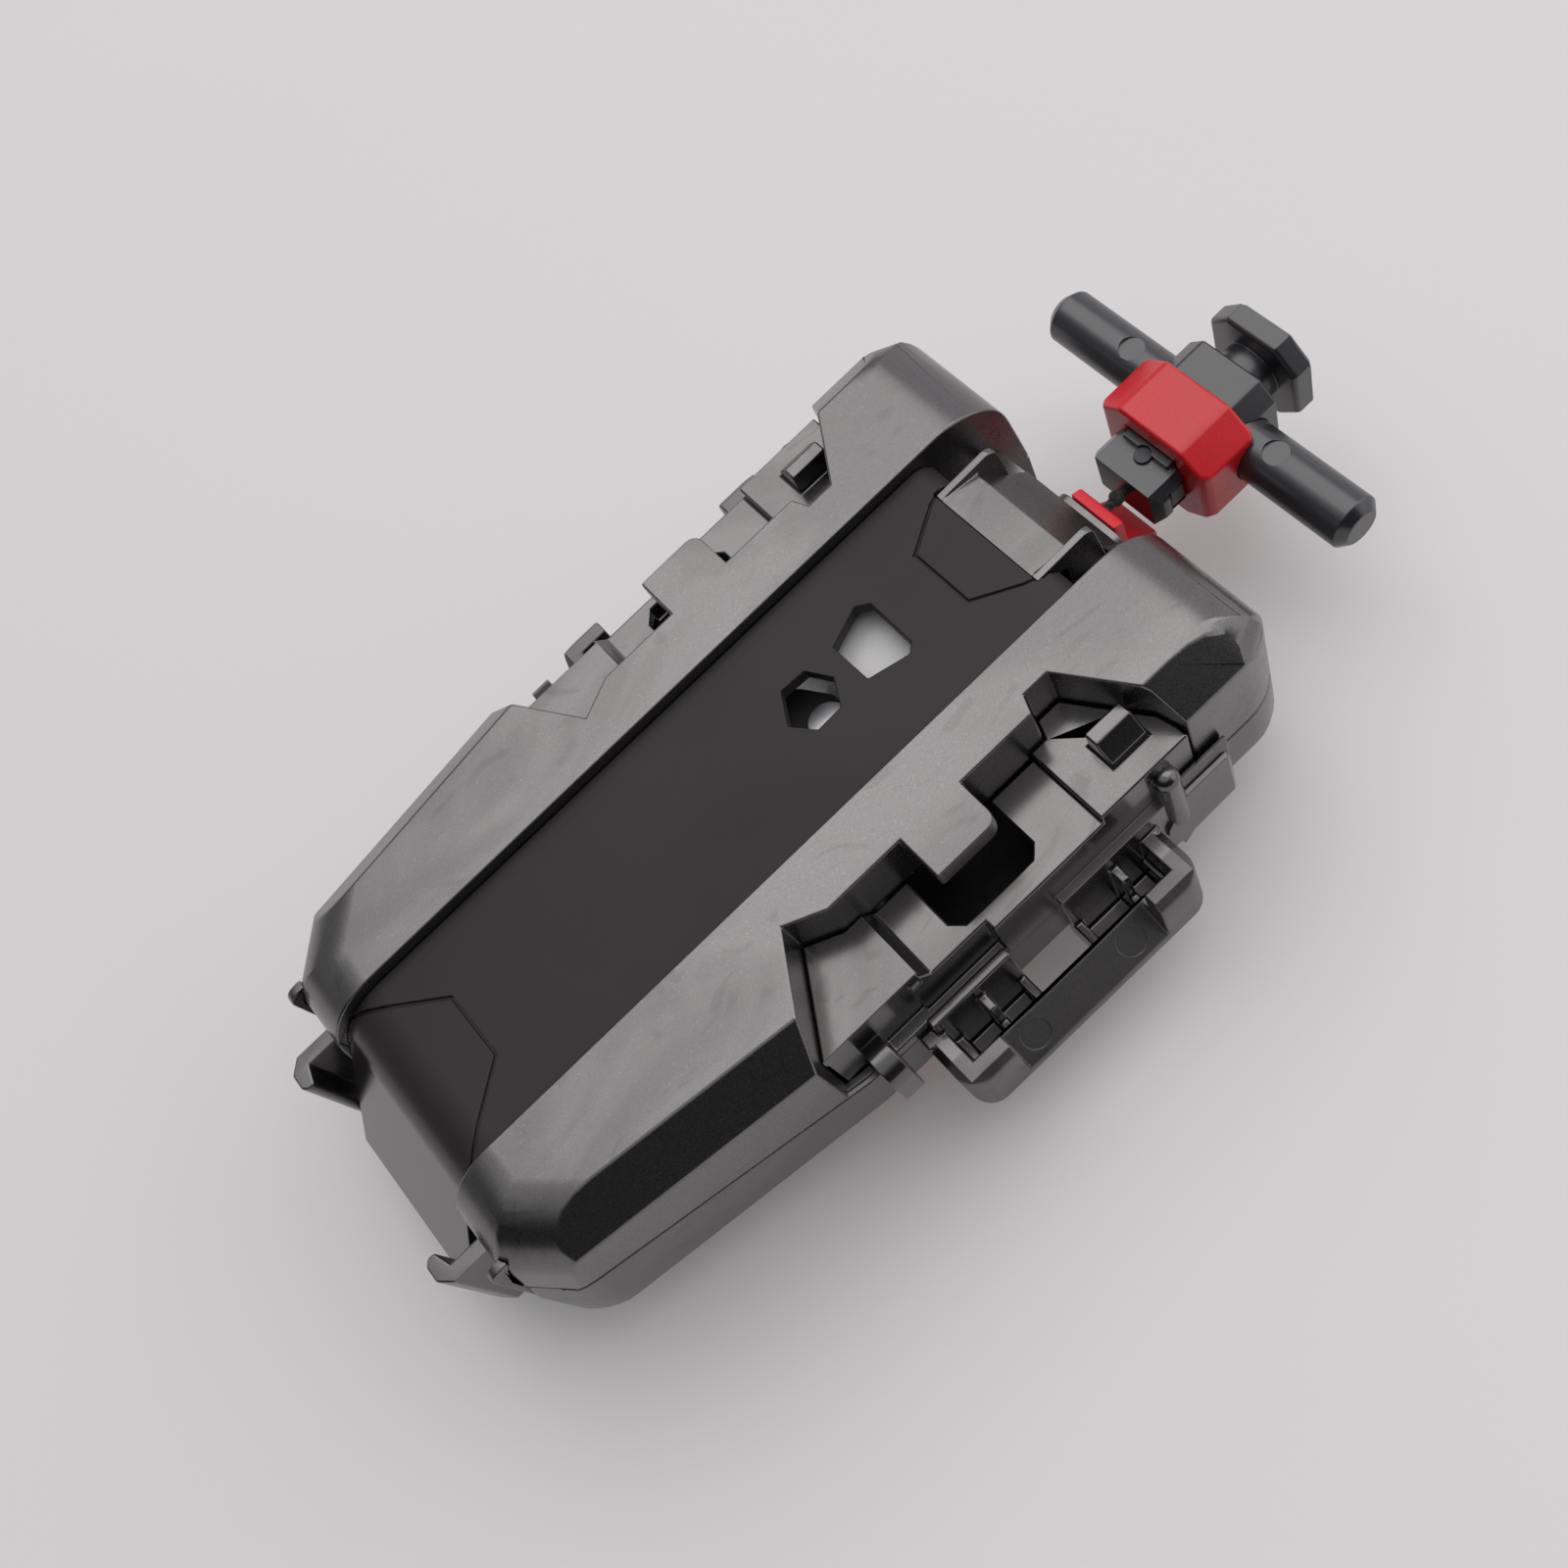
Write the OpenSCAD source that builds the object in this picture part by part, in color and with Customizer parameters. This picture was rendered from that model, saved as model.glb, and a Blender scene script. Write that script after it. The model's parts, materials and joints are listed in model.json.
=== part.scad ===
// String launcher for spinning tops: two shells, a wound string with a T-handle, a two-stage gear train
// and a clawed rotor. +X points to the handle, +Z up, and the base ring stands on Z = 0.
// The modules are drawn with the rotor axis on X = 0, and place() moves the whole part so that
// the origin is under the middle of its plan.

/* [Body] */
// Width across the side walls
body_w = 64.4; // [62:0.2:70]
// Height of the two shells together
body_h = 30.6; // [29.6:0.2:34]
// Rotor axis to the near end wall
near_len = 52.7; // [51:0.1:58]
// Rotor axis to the far end wall
far_len = 61.2; // [60.2:0.1:66]
// Thickness of the shell walls and floors
wall = 1.8; // [1.5:0.1:2.1]
// Height of the flat part of the seam above the shells' floor
seam_up = 12.6; // [11.8:0.2:13.4]
// Angle at which the near part of the seam climbs
seam_angle = 6.3; // [5:0.1:8]
// Depth of the groove that shows between the shells
seam_groove = 0.35; // [0.2:0.05:0.6]
// Leg of the bevel along each rail
bevel = 4.8; // [3:0.1:5.5]
// Angle at which the near part of the flanks draws in
taper_angle = 6.4; // [4:0.1:8]
// Distance of the taper's start before the rotor axis
taper_start = 7; // [4:0.5:9]
// Radius of the near corners in plan
near_corner_r = 9.9; // [8:0.1:11]
// Radius of the far corners in plan
far_corner_r = 8.1; // [7:0.1:9]
// Leg of the bevel along the lower edges
foot_bevel = 4.4; // [3:0.1:5]
// Radius of the rails' rounded ends seen from the side
nose_r = 9.6; // [8:0.1:10.5]
// Slope of the near end wall from the vertical
near_rake = 10; // [6:0.5:12]
// Slope of the far end wall from the vertical
far_rake = 6; // [3:0.5:8]

/* [Panel] */
// Width of the trough between the rails
trough_w = 26; // [24:0.2:27]
// Drop of the panel under the rails
panel_drop = 1.8; // [1:0.1:2.5]
// Panel thickness
panel_t = 2; // [1.6:0.1:2.4]
// Angle of the ramp from the vertical
ramp_angle = 29.5; // [25:0.5:32]
// Outer radius of the bend at the top of the ramp
ramp_r = 9; // [6:0.5:10]
// Distance of the bend's centre before the rotor axis
ramp_bend_x = 40.8; // [38:0.1:42]
// Height of the ramp's foot above the shells' floor
ramp_foot_up = 3.6; // [3:0.2:6]
// Distance of the panel's far edge from the rotor axis
panel_end_x = 45.6; // [45:0.1:46.2]
// Width of the engraved lines
engraving_w = 0.4; // [0.3:0.05:0.8]
// Depth of the engraved lines
engraving_d = 0.4; // [0.2:0.05:0.7]

/* [Side notches] */
// Depth of the notch at its two pockets, from the side wall
pocket_depth = 13.6; // [12.6:0.1:14]
// Depth of the notch in its middle, from the side wall
notch_depth = 11.3; // [10.6:0.1:12]
// Reach of the tab into the notch
tab_reach = 6.1; // [4:0.1:7]
// Thickness of the tab
tab_t = 3; // [2:0.1:4]
// Radius of the tab's far corner
tab_r = 1.6; // [0.8:0.1:3]
// Drop of the pocket decks under the rail
pocket_drop = 7.2; // [6.4:0.1:8]
// Drop of the middle deck under the rail
deck_drop = 9; // [8.6:0.1:9.6]
// Deck thickness
deck_t = 1.8; // [1.4:0.1:2.2]
// Gap between the deck and the edge of its notch
deck_gap = 0.12; // [0.05:0.01:0.2]

/* [Grip brackets] */
// Reach of a bracket from the side wall
bracket_reach = 9; // [8.4:0.1:11]
// Start of a bracket before the far side of the rotor axis
bracket_x0 = 0.4; // [0:0.1:1.5]
// Length of a bracket
bracket_len = 36.4; // [36:0.2:38]
// Height of a bracket's plate above the shells' floor
bracket_up = 1.8; // [1:0.1:2.6]
// Thickness of a bracket's plate
bracket_t = 5.2; // [4.4:0.1:6]
// Radius of a bracket's outer corners
bracket_r = 3; // [2:0.1:4]
// Thickness of the raised corners
corner_t = 2.8; // [2.2:0.1:3.2]
// Bevel on the top of the raised corners
corner_bevel = 1; // [0.4:0.1:1.3]
// Thickness of the plate at its outer edge, where its top has sloped down
tray_edge_t = 1.7; // [1.4:0.1:3]
// Length of the window in a bracket
window_len = 7.9; // [6:0.1:9]
// Width of the window in a bracket
window_w = 4.5; // [4.3:0.1:5]

/* [End hooks] */
// Reach of the hooks before the near end
hook_reach = 4.9; // [4:0.1:6]
// Height of the hooks
hook_h = 16.9; // [14:0.1:17.2]
// Thickness of the hooks' arms
hook_t = 2; // [1.6:0.1:2.4]
// Thickness of the lugs beside the hooks
lug_t = 1.25; // [1:0.05:1.6]

/* [Bridge] */
// Distance of the outer faces of the two fins
fin_span = 17.4; // [16:0.2:18]
// Thickness of a fin
fin_t = 1; // [0.8:0.1:1.5]
// Width of the string boss
boss_w = 11.6; // [10:0.2:12.4]
// Radius of the string boss's upper edges
boss_round = 2.2; // [1.4:0.1:2.6]
// Width of the red guide
guide_w = 7.6; // [7:0.2:9]
// Thickness of the red guide
guide_t = 1.6; // [1.2:0.1:2]
// Reach of the guide's beak
beak_reach = 4.2; // [2:0.1:4.6]

/* [Base ring] */
// Height of the base ring
ring_h = 8; // [7.6:0.2:9]
// Outer radius of the base ring
ring_r = 27; // [25:0.5:28]
// Wall of the base ring
ring_wall = 3.2; // [2:0.1:3.6]
// Radius of the claw hub
hub_r = 14; // [12:0.5:15]
// Height of the claws under the hub's plate
claw_h = 4.2; // [3:0.1:4.4]
// Thickness of a claw
claw_t = 2.4; // [2:0.1:3]
// Angle that a claw spans
claw_angle = 44; // [30:1:60]

/* [Mechanism] */
// Teeth of the gear on the string spool
spool_teeth = 24; // [22:1:24]
// Teeth of the two pinions
pinion_teeth = 11; // [11:1:12]
// Teeth of the large idler gear
idler_teeth = 26; // [24:1:26]
// Gear module, pitch diameter for each tooth
gear_m = 1; // [0.95:0.01:1]
// Pressure angle of the teeth
pressure_angle = 25; // [24:0.5:26]
// Backlash of each gear on its pitch circle
backlash = 0.12; // [0.08:0.01:0.2]
// Face width of the gears
gear_w = 2.8; // [2.4:0.1:3]
// Outer radius of the spool's flanges and spring cup
flange_r = 13.6; // [12.8:0.1:13.8]
// Flange thickness
flange_t = 1.4; // [1:0.1:1.6]
// Mean radius of the wound string
winding_r = 8; // [7.6:0.1:8.4]
// Radius of the spool's core under the string
core_r = 5.4; // [5:0.1:6]
// Width of the winding
winding_w = 5.2; // [4.8:0.1:5.4]
// Diameter of the string
string_d = 1.4; // [1:0.1:1.8]
// Radius of the spool's axle
spool_axle_r = 2; // [1.8:0.05:2.2]
// Radius of the idler's axle
idler_axle_r = 1.5; // [1.3:0.05:1.7]
// Radius of the rotor's shaft
rotor_shaft_r = 2; // [1.8:0.05:2.2]
// Thickness of the plate over the gears
plate_t = 1.6; // [1.2:0.1:2]
// Depth of that plate's underside below the sheet that carries the panel
plate_drop = 6; // [5.4:0.1:7]
// Distance of that plate's widest place from the side wall
plate_side = 13.2; // [13:0.1:15]

/* [Handle] */
// Gap between the far end wall and the handle at rest
handle_gap = 3.9; // [3.6:0.1:5]
// Length of the front block
front_len = 5.1; // [4.6:0.1:6]
// Length of the red collar
collar_len = 8.6; // [8:0.1:10]
// Width of the red collar
collar_w = 18; // [17:0.2:19]
// Height of the red collar
collar_h = 14.6; // [14:0.2:16]
// Length of the rear block
rear_len = 5.4; // [5:0.1:6]
// Length of the neck
neck_len = 3; // [2:0.1:4]
// Radius of the neck
neck_r = 4.05; // [3:0.05:4.5]
// Thickness of the end flange
end_t = 3.4; // [2.5:0.1:4]
// Width across the flats of the end flange
end_w = 14; // [12:0.2:15]
// Radius of the cross bar
bar_r = 3.6; // [3:0.05:3.75]
// Length of the cross bar
bar_len = 50; // [44:0.2:54]
// Bevel on the cross bar's ends
bar_bevel = 1.2; // [0.6:0.1:1.6]

/* [Fits] */
// Radial clearance of a shaft that turns
run_fit = 0.05; // [0.03:0.01:0.08]
// Clearance round a piece that is seated
seat_fit = 0.02; // [0.01:0.01:0.04]
// Gap between the panel and the rails
panel_gap = 0.1; // [0.05:0.01:0.2]

/* [Screws] */
// Shank radius of the case screws
screw_r = 1.3; // [1.1:0.05:1.4]
// Head radius of the case screws
screw_head_r = 2.4; // [2.1:0.1:2.5]
// Radius of the posts and bosses for the case screws
screw_boss_r = 3.6; // [3.4:0.1:4]

/* [Hidden] */
$fn = 64;

// Cuts run past the faces that they open by this much
over = 1;
// Half size of the blocks that cut with one face
big = 120;

pearl = [0.50, 0.49, 0.48];
gunmetal = [0.30, 0.30, 0.31];
black = [0.16, 0.15, 0.16];
red = [0.78, 0.10, 0.13];
offwhite = [0.86, 0.85, 0.82];
steel = [0.70, 0.71, 0.73];
brass = [0.80, 0.66, 0.35];

// Heights
floor_z = ring_h;
top_z = floor_z + body_h;
seam_z = floor_z + seam_up;
string_z = seam_z;
half_w = body_w / 2;
inner_floor_z = floor_z + wall + 0.2;
trough_half = trough_w / 2;
panel_top = top_z - panel_drop;
panel_bottom = panel_top - panel_t;
sheet_t = 1.2;
sheet_bottom = panel_bottom - sheet_t;

// Plan of the near corner, tangent to the end wall and the tapered flank
near_cx = near_corner_r - near_len;
near_cy = half_w + (sin(taper_angle) * (near_cx + taper_start) - near_corner_r) / cos(taper_angle);
far_cx = far_len - far_corner_r;
far_cy = half_w - far_corner_r;

// Side view of the rails' ends: the end walls reach their plan length at the seam
near_tz = top_z - nose_r + nose_r * sin(near_rake);
near_nose_x = nose_r * cos(near_rake) + tan(near_rake) * (near_tz - seam_z) - near_len + 0.5;
far_tz = top_z - nose_r + nose_r * sin(far_rake);
far_nose_x = far_len - nose_r * cos(far_rake) - tan(far_rake) * (far_tz - seam_z);

// Seam: flat at the far part, one small step up, then climbing towards the near end
seam_step_x = -4.5;
seam_step = 0.6;

// Ramp
ramp_cz = panel_top - ramp_r;
ramp_tx = -ramp_bend_x - ramp_r * cos(ramp_angle);
ramp_tz = ramp_cz + ramp_r * sin(ramp_angle);
ramp_foot_z = floor_z + ramp_foot_up;
function ramp_x(z, d) = ramp_tx - (ramp_tz - z) * tan(ramp_angle) + d / cos(ramp_angle);
ramp_foot_x = ramp_x(ramp_foot_z, 0);

// Bay between the far ends of the rails
bay_wall_x = far_len - 5.6;
bay_wall_t = 1.8;
boss_end_x = far_len - 1.3;

// Axes of the gear train along X
rotor_x = 0;
idler_x = gear_m * (idler_teeth + pinion_teeth) / 2;
spool_x = idler_x + gear_m * (spool_teeth + pinion_teeth) / 2;

// Heights of the gear train
low_gear_z = inner_floor_z + 0.8;
high_gear_z = low_gear_z + gear_w + 1;
spool_base_z = high_gear_z + gear_w;
winding_z0 = string_z - winding_w / 2;
winding_z1 = string_z + winding_w / 2;
cup_z = winding_z1 + flange_t;
cover_t = 1.2;
cover_top = sheet_bottom - 0.4;
cup_top = cover_top - cover_t;
cup_wall = 1.2;
plate_z = sheet_bottom - plate_drop;
axle_foot_z = floor_z + 0.8;

// Handle, from the far end wall on
handle_x = far_len + handle_gap;
collar_x = handle_x + front_len;
rear_x = collar_x + collar_len;
neck_x = rear_x + rear_len;
end_x = neck_x + neck_len;
end_x1 = end_x + end_t;
bar_x = rear_x + 0.1;

// Plan centre of the whole part
plan_cx = (ramp_foot_x + end_x1) / 2;

// Points of an arc about a centre, from one angle to another
function arc(cx, cy, r, a0, a1, n = 10) =
    [for (i = [0:n]) let (a = a0 + (a1 - a0) * i / n) [cx + r * cos(a), cy + r * sin(a)]];
function reversed(p) = [for (i = [len(p) - 1:-1:0]) p[i]];
function mirror_y(p) = [for (q = reversed(p)) [q[0], -q[1]]];
function unit(v) = v / norm(v);
// Left-hand normal of the edge that leaves point i
function edge_normal(p, i) = let (d = unit(p[(i + 1) % len(p)] - p[i])) [d[1], -d[0]];
// A counter-clockwise outline with each edge moved outwards by d
function grow(p, d) = [for (i = [0:len(p) - 1])
    let (a = edge_normal(p, (i + len(p) - 1) % len(p)), b = edge_normal(p, i))
    p[i] + d * (a + b) / (1 + a * b)];
// Octagon from half width, half height and the half widths of its flats
function octagon(hw, hh, fw, fh) = [[hw, fh], [fw, hh], [-fw, hh], [-hw, fh],
    [-hw, -fh], [-fw, -hh], [fw, -hh], [hw, -fh]];

// Outline of the shells in plan, inset by d
function plan_half(d) = concat(
    arc(far_cx, far_cy, far_corner_r - d, 0, 90, 8),
    [[-taper_start + d * tan(taper_angle / 2), half_w - d]],
    arc(near_cx, near_cy, near_corner_r - d, 90 + taper_angle, 180, 10));
function plan_outline(d) = concat(plan_half(d), mirror_y(plan_half(d)));

// Side view of the shells, inset by d, from under the floor to the rails
function side_outline(d) = concat(
    [[far_nose_x + (nose_r - d) * cos(far_rake) + tan(far_rake) * far_tz, 0]],
    arc(far_nose_x, top_z - nose_r, nose_r - d, far_rake, 90, 10),
    arc(near_nose_x, top_z - nose_r, nose_r - d, 90, 180 - near_rake, 10),
    [[near_nose_x - (nose_r - d) * cos(near_rake) - tan(near_rake) * near_tz, 0]]);

// Ramp and panel line, moved down by d, from the far side to the foot
function panel_line(d, x1) = concat(
    [[x1, panel_top - d]],
    arc(-ramp_bend_x, ramp_cz, ramp_r - d, 90, 180 - ramp_angle, 10),
    [[ramp_x(ramp_foot_z, d), ramp_foot_z]]);

module place() {
    translate([-plan_cx, 0, 0]) children();
}

// Extrudes an outline drawn in X and Z along Y, centred
module along_y(width) {
    rotate([90, 0, 0]) linear_extrude(width, center = true) children();
}

// Extrudes an outline drawn in Y and Z along X
module along_x(x0, length) {
    translate([x0, 0, 0]) rotate([90, 0, 90]) linear_extrude(length) children();
}

module rod(x, y, z0, z1, r) {
    translate([x, y, z0]) cylinder(h = z1 - z0, r = r);
}

module both_sides() {
    children();
    mirror([0, 1, 0]) children();
}

// Box from its two corners
module box(a, b) {
    translate(a) cube(b - a);
}

// Rounded strokes between points, as straight bars
module stroke(p, w) {
    for (i = [0:len(p) - 2]) {
        d = p[i + 1] - p[i];
        translate(p[i]) rotate([0, 0, atan2(d[1], d[0])])
            translate([-w / 2, -w / 2]) square([norm(d) + w, w]);
    }
}

// What a 45 degree plane takes off, from its lower edge on outwards and upwards
module bevel_side(d) {
    rotate([-45, 0, 0]) translate([-big, -big, -d]) cube([2 * big, 2 * big, big]);
}

// What the bevels along both flanks take off below Z = 0, moved inwards by d. Where they are moved
// inwards, the one along the taper is a little larger, so that its edges stay apart from the others.
module flank_bevels(leg, d) {
    more = d > 0 ? 0.3 : 0;
    both_sides() {
        translate([0, half_w, -leg]) bevel_side(d);
        translate([-taper_start, half_w, -leg - more]) rotate([0, 0, taper_angle]) bevel_side(d);
    }
}

// What a rounded end takes off in one direction from a corner's centre. Its wall leans by rake, and
// the last facet of its rounding runs on through the roof.
module corner_cut(centre, angle, plan_r, edge_r, rake, d) {
    tz = top_z - edge_r + edge_r * sin(rake);
    s = plan_r - edge_r * cos(rake) - tan(rake) * (tz - seam_z);
    facets = 8;
    rim = arc(s, top_z - edge_r, edge_r - d, rake, 90, facets);
    past = 2 * rim[facets] - rim[facets - 1];
    translate([centre[0], centre[1], 0]) rotate([0, 0, angle]) along_y(2 * big) polygon(concat(
        [[s + (edge_r - d) * cos(rake) + tan(rake) * tz, 0]],
        [for (i = [0:facets - 1]) rim[i]],
        [past, [past[0], big], [big, big], [big, 0]]));
}

// Solid body of the shells with its walls moved in by d
module body_core(d) {
    difference() {
        intersection() {
            linear_extrude(top_z + over) polygon(plan_outline(d));
            along_y(body_w + 2 * over) polygon(side_outline(d));
        }
        translate([0, 0, top_z]) flank_bevels(bevel, d);
        both_sides() {
            for (a = [134, 159]) corner_cut([near_cx, near_cy], a, near_corner_r, nose_r, near_rake, d);
            for (a = [30, 60]) corner_cut([far_cx, far_cy], a, far_corner_r, far_corner_r, 0, d);
        }
    }
}

// The same with its lower edges bevelled
module tub_core(d) {
    difference() {
        body_core(d);
        translate([0, 0, floor_z]) mirror([0, 0, 1]) {
            flank_bevels(foot_bevel, d);
            both_sides() {
                for (a = [120, 150]) translate([near_cx, near_cy, -foot_bevel]) rotate([0, 0, a - 90])
                    translate([0, near_corner_r, 0]) bevel_side(d);
                for (a = [30, 60]) translate([far_cx, far_cy, -foot_bevel]) rotate([0, 0, a - 90])
                    translate([0, far_corner_r, 0]) bevel_side(d);
            }
        }
    }
}

// Everything above the seam. At the near end the lower shell stands up in a low arch.
module above_seam() {
    rise = tan(seam_angle) * (big + seam_step_x - 1);
    arch_x = 3.3 - near_len;
    arch_z0 = seam_z + 4;
    arch_z1 = seam_z + 12;
    difference() {
        along_y(2 * big) polygon([[big, seam_z], [seam_step_x, seam_z],
            [seam_step_x - 1, seam_z + seam_step], [-big, seam_z + seam_step + rise],
            [-big, big], [big, big]]);
        along_x(-big, big + arch_x) polygon([[-trough_half - 11.6, arch_z0], [-trough_half, arch_z1],
            [trough_half, arch_z1], [trough_half + 11.6, arch_z0]]);
    }
}

// Part of the seam's groove: a thin band under the seam, outside the walls' middle
module seam_band() {
    difference() {
        intersection() {
            translate([0, 0, -seam_groove]) above_seam();
            translate([0, 0, floor_z]) linear_extrude(body_h) polygon(plan_outline(-over));
        }
        linear_extrude(top_z) polygon(plan_outline(wall * 0.4));
    }
}

// Notch in the left rail. The tab reaches into it from the rail's side.
pocket_y = half_w - pocket_depth;
notch_y = half_w - notch_depth;
tab_y = notch_y + tab_reach;
notch_out = half_w + 2;
notch_near = [[-11.3, notch_out], [-1.8, pocket_y], [3.15, notch_y]];
notch_far = [[33.75, notch_y], [34.65, pocket_y], [38.15, pocket_y], [44.2, half_w - 4],
    [45.4, notch_out]];
tab_x0 = 13.95;
tab_x1 = 22.95;
notch_points = concat(reversed(notch_far), [[tab_x1, notch_y]],
    arc(tab_x1 - tab_r, tab_y - tab_r, tab_r, 0, 90, 5), [[tab_x0, tab_y], [tab_x0, notch_y]],
    reversed(notch_near));
// The same notch without its tab, counter-clockwise
notch_plain = concat(notch_near, notch_far);

module notch_area(points, d = 0) {
    polygon(grow(points, d));
}

// Screw places: by the near nose, behind the rotor, and by the far nose
screw_places = [[near_cx - 0.2, 18.5], [-24, 20.2], [far_cx - 0.6, 21.2]];
screw_head_z = floor_z + 0.8;
screw_head_h = 2;
screw_tip_z = top_z - 6;

module at_screws() {
    for (p = screw_places, s = [1, -1]) translate([p[0], s * p[1], 0]) children();
}

// Sheet that carries the panel: the solid between the rails, down to d under the panel
module under_panel(d) {
    along_y(trough_w + 2 * wall) polygon(concat(panel_line(panel_t + d, bay_wall_x + bay_wall_t),
        [[-big, ramp_foot_z], [-big, big], [bay_wall_x + bay_wall_t, big]]));
}

module upper_shell() {
    color(pearl) difference() {
        union() {
            difference() {
                body_core(0);
                // Room inside, below the rails' roofs and the panel's sheet
                difference() {
                    body_core(wall);
                    under_panel(sheet_t);
                    both_sides() translate([0, 0, top_z - pocket_drop - deck_t])
                        linear_extrude(big) notch_area(notch_plain, wall);
                    both_sides()
                        box([tab_x0, pocket_y, top_z - tab_t], [tab_x1, pocket_y + tab_reach + 3, big]);
                    // Walls beside the bay
                    both_sides() box([panel_end_x - 1.4, trough_half, 0], [big, trough_half + wall, big]);
                }
                // Rooms in the rails, beside the trough
                intersection() {
                    body_core(wall);
                    difference() {
                        along_y(body_w) square([2 * big, 2 * big], center = true);
                        box([-big, -trough_half - wall, -big], [big, trough_half + wall, big]);
                        both_sides() linear_extrude(big) notch_area(notch_plain, wall);
                    }
                }
            }
            // Posts for the case screws
            intersection() {
                at_screws() cylinder(h = top_z, r = screw_boss_r);
                body_core(wall / 2);
            }
        }
        // Below the seam
        difference() {
            translate([0, 0, top_z / 2]) cube([2 * big, 2 * big, 2 * top_z], center = true);
            above_seam();
        }
        // Trough for the panel, and the open bay at its far end
        panel_room(bay_wall_x + bay_wall_t);
        box([panel_end_x, -trough_half, 0], [big, trough_half, big]);
        // Windows in the sheet, round the web that steadies the spool's axle
        box([4, 1.5 - trough_half, 0], [spool_x - 3.4, trough_half - 1.5, top_z]);
        box([spool_x + 3.4, 1.5 - trough_half, 0], [panel_end_x - 1.4, trough_half - 1.5, top_z]);
        rod(spool_x, 0, 0, panel_bottom + over, spool_axle_r + seat_fit);
        // Notches: the full outline down to the tab's underside, and the plain one below
        both_sides() translate([0, 0, top_z - tab_t]) linear_extrude(big) notch_area(notch_points);
        both_sides() linear_extrude(top_z - tab_t) notch_area(notch_plain);
        at_screws() cylinder(h = screw_tip_z + 0.4, r = screw_r + seat_fit);
    }
}

// Room for the panel: the trough, and all that lies outside the ramp's underside
module panel_room(x1) {
    along_y(trough_w) polygon(concat(panel_line(panel_t, x1),
        [[-big, ramp_foot_z], [-big, big], [x1, big]]));
}

// Prow under the ramp. It runs on into the end wall.
module prow() {
    x0 = ramp_x(ramp_foot_z, panel_t);
    x1 = wall / 2 - near_len;
    along_y(trough_w - 2 * panel_gap) polygon([[x0, seam_z + 1], [x0, ramp_foot_z], [x0 + 1, floor_z],
        [x1, floor_z], [x1, seam_z + 1]]);
}

hook_gap = 0.15;
hook_z = floor_z + 4.4;
hook_y = trough_half + 4.9;
lug_y = near_cy + 3.3;
lug_top = floor_z + 25.9;

// Hooks on the near end: an arm along X with a cut corner, and a finger that points inwards
module end_hooks() {
    x0 = -near_len - hook_reach;
    x1 = 4 - near_len;
    inner = hook_y - hook_t;
    both_sides() {
        translate([0, 0, hook_z]) linear_extrude(hook_h) polygon([[x1, inner], [x1, hook_y],
            [x0 + 1.6, hook_y], [x0, hook_y - 1.5], [x0, trough_half + 1.2], [x0 + 0.7, trough_half + 0.5],
            [x0 + 1.7, trough_half + 0.5], [x0 + 2.5, inner]]);
        // Lug with a rounded top
        translate([0, lug_y + lug_t / 2, 0]) along_y(lug_t) polygon(concat(
            [[x1, lug_top], [x1, floor_z + 13], [1.6 - near_len, floor_z + 11.4],
            [1.2 - near_len, floor_z + 12]],
            reversed(arc(2.9 - near_len, lug_top - 1.7, 1.7, 90, 180, 5))));
    }
}

module lower_shell() {
    color(gunmetal) difference() {
        union() {
            difference() {
                union() {
                    intersection() {
                        tub_core(0);
                        box([-big, -big, floor_z], [big, big, big]);
                    }
                    prow();
                }
                difference() {
                    tub_core(wall);
                    box([-big, -big, 0], [big, big, inner_floor_z]);
                    // Walls beside the bay
                    both_sides() box([bay_wall_x, trough_half, 0], [big, trough_half + wall, big]);
                }
                panel_room(0);
                // The bay is open towards the handle
                box([bay_wall_x, -trough_half, inner_floor_z], [big, trough_half, big]);
                above_seam();
                seam_band();
            }
            difference() {
                at_screws() translate([0, 0, floor_z]) cylinder(h = body_h, r = screw_boss_r);
                above_seam();
            }
            // Above the seam the hooks stay clear of the upper shell
            difference() {
                end_hooks();
                intersection() {
                    body_core(-hook_gap);
                    above_seam();
                }
                body_core(wall);
            }
            // Bosses for the axles and posts for the gear plate
            rod(spool_x, 0, floor_z, high_gear_z - 0.3, spool_axle_r + 1.3);
            rod(idler_x, 0, floor_z, low_gear_z - 0.3, idler_axle_r + 1.6);
            for (p = plate_posts) rod(p[0], p[1], floor_z, plate_z, 2.6);
        }
        rod(rotor_x, 0, 0, top_z, bush_r + seat_fit);
        rod(spool_x, 0, axle_foot_z, top_z, spool_axle_r + seat_fit);
        rod(idler_x, 0, axle_foot_z, top_z, idler_axle_r + seat_fit);
        at_screws() {
            cylinder(h = top_z, r = screw_r + 0.2);
            cylinder(h = screw_head_z + screw_head_h, r = screw_head_r + 0.2);
        }
        for (p = plate_posts) rod(p[0], p[1], plate_z - 6.2, top_z, plate_screw_r + seat_fit);
    }
}

// The ramp's outer skin, thinned by d
module panel_section(d) {
    polygon(concat(panel_line(d, panel_end_x), reversed(panel_line(panel_t, panel_end_x))));
}

module panel_marks() {
    near_mark = [[-47.9, 14.5], [-34.9, 4.65], [-34.9, -4.65], [-47.9, -14.5]];
    far_mark = [[48, 9.4], [44.4, 8], [38.75, 4.6], [38.75, -4.6], [44.4, -8], [48, -9.4]];
    stroke(near_mark, engraving_w);
    stroke(far_mark, engraving_w);
}

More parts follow.
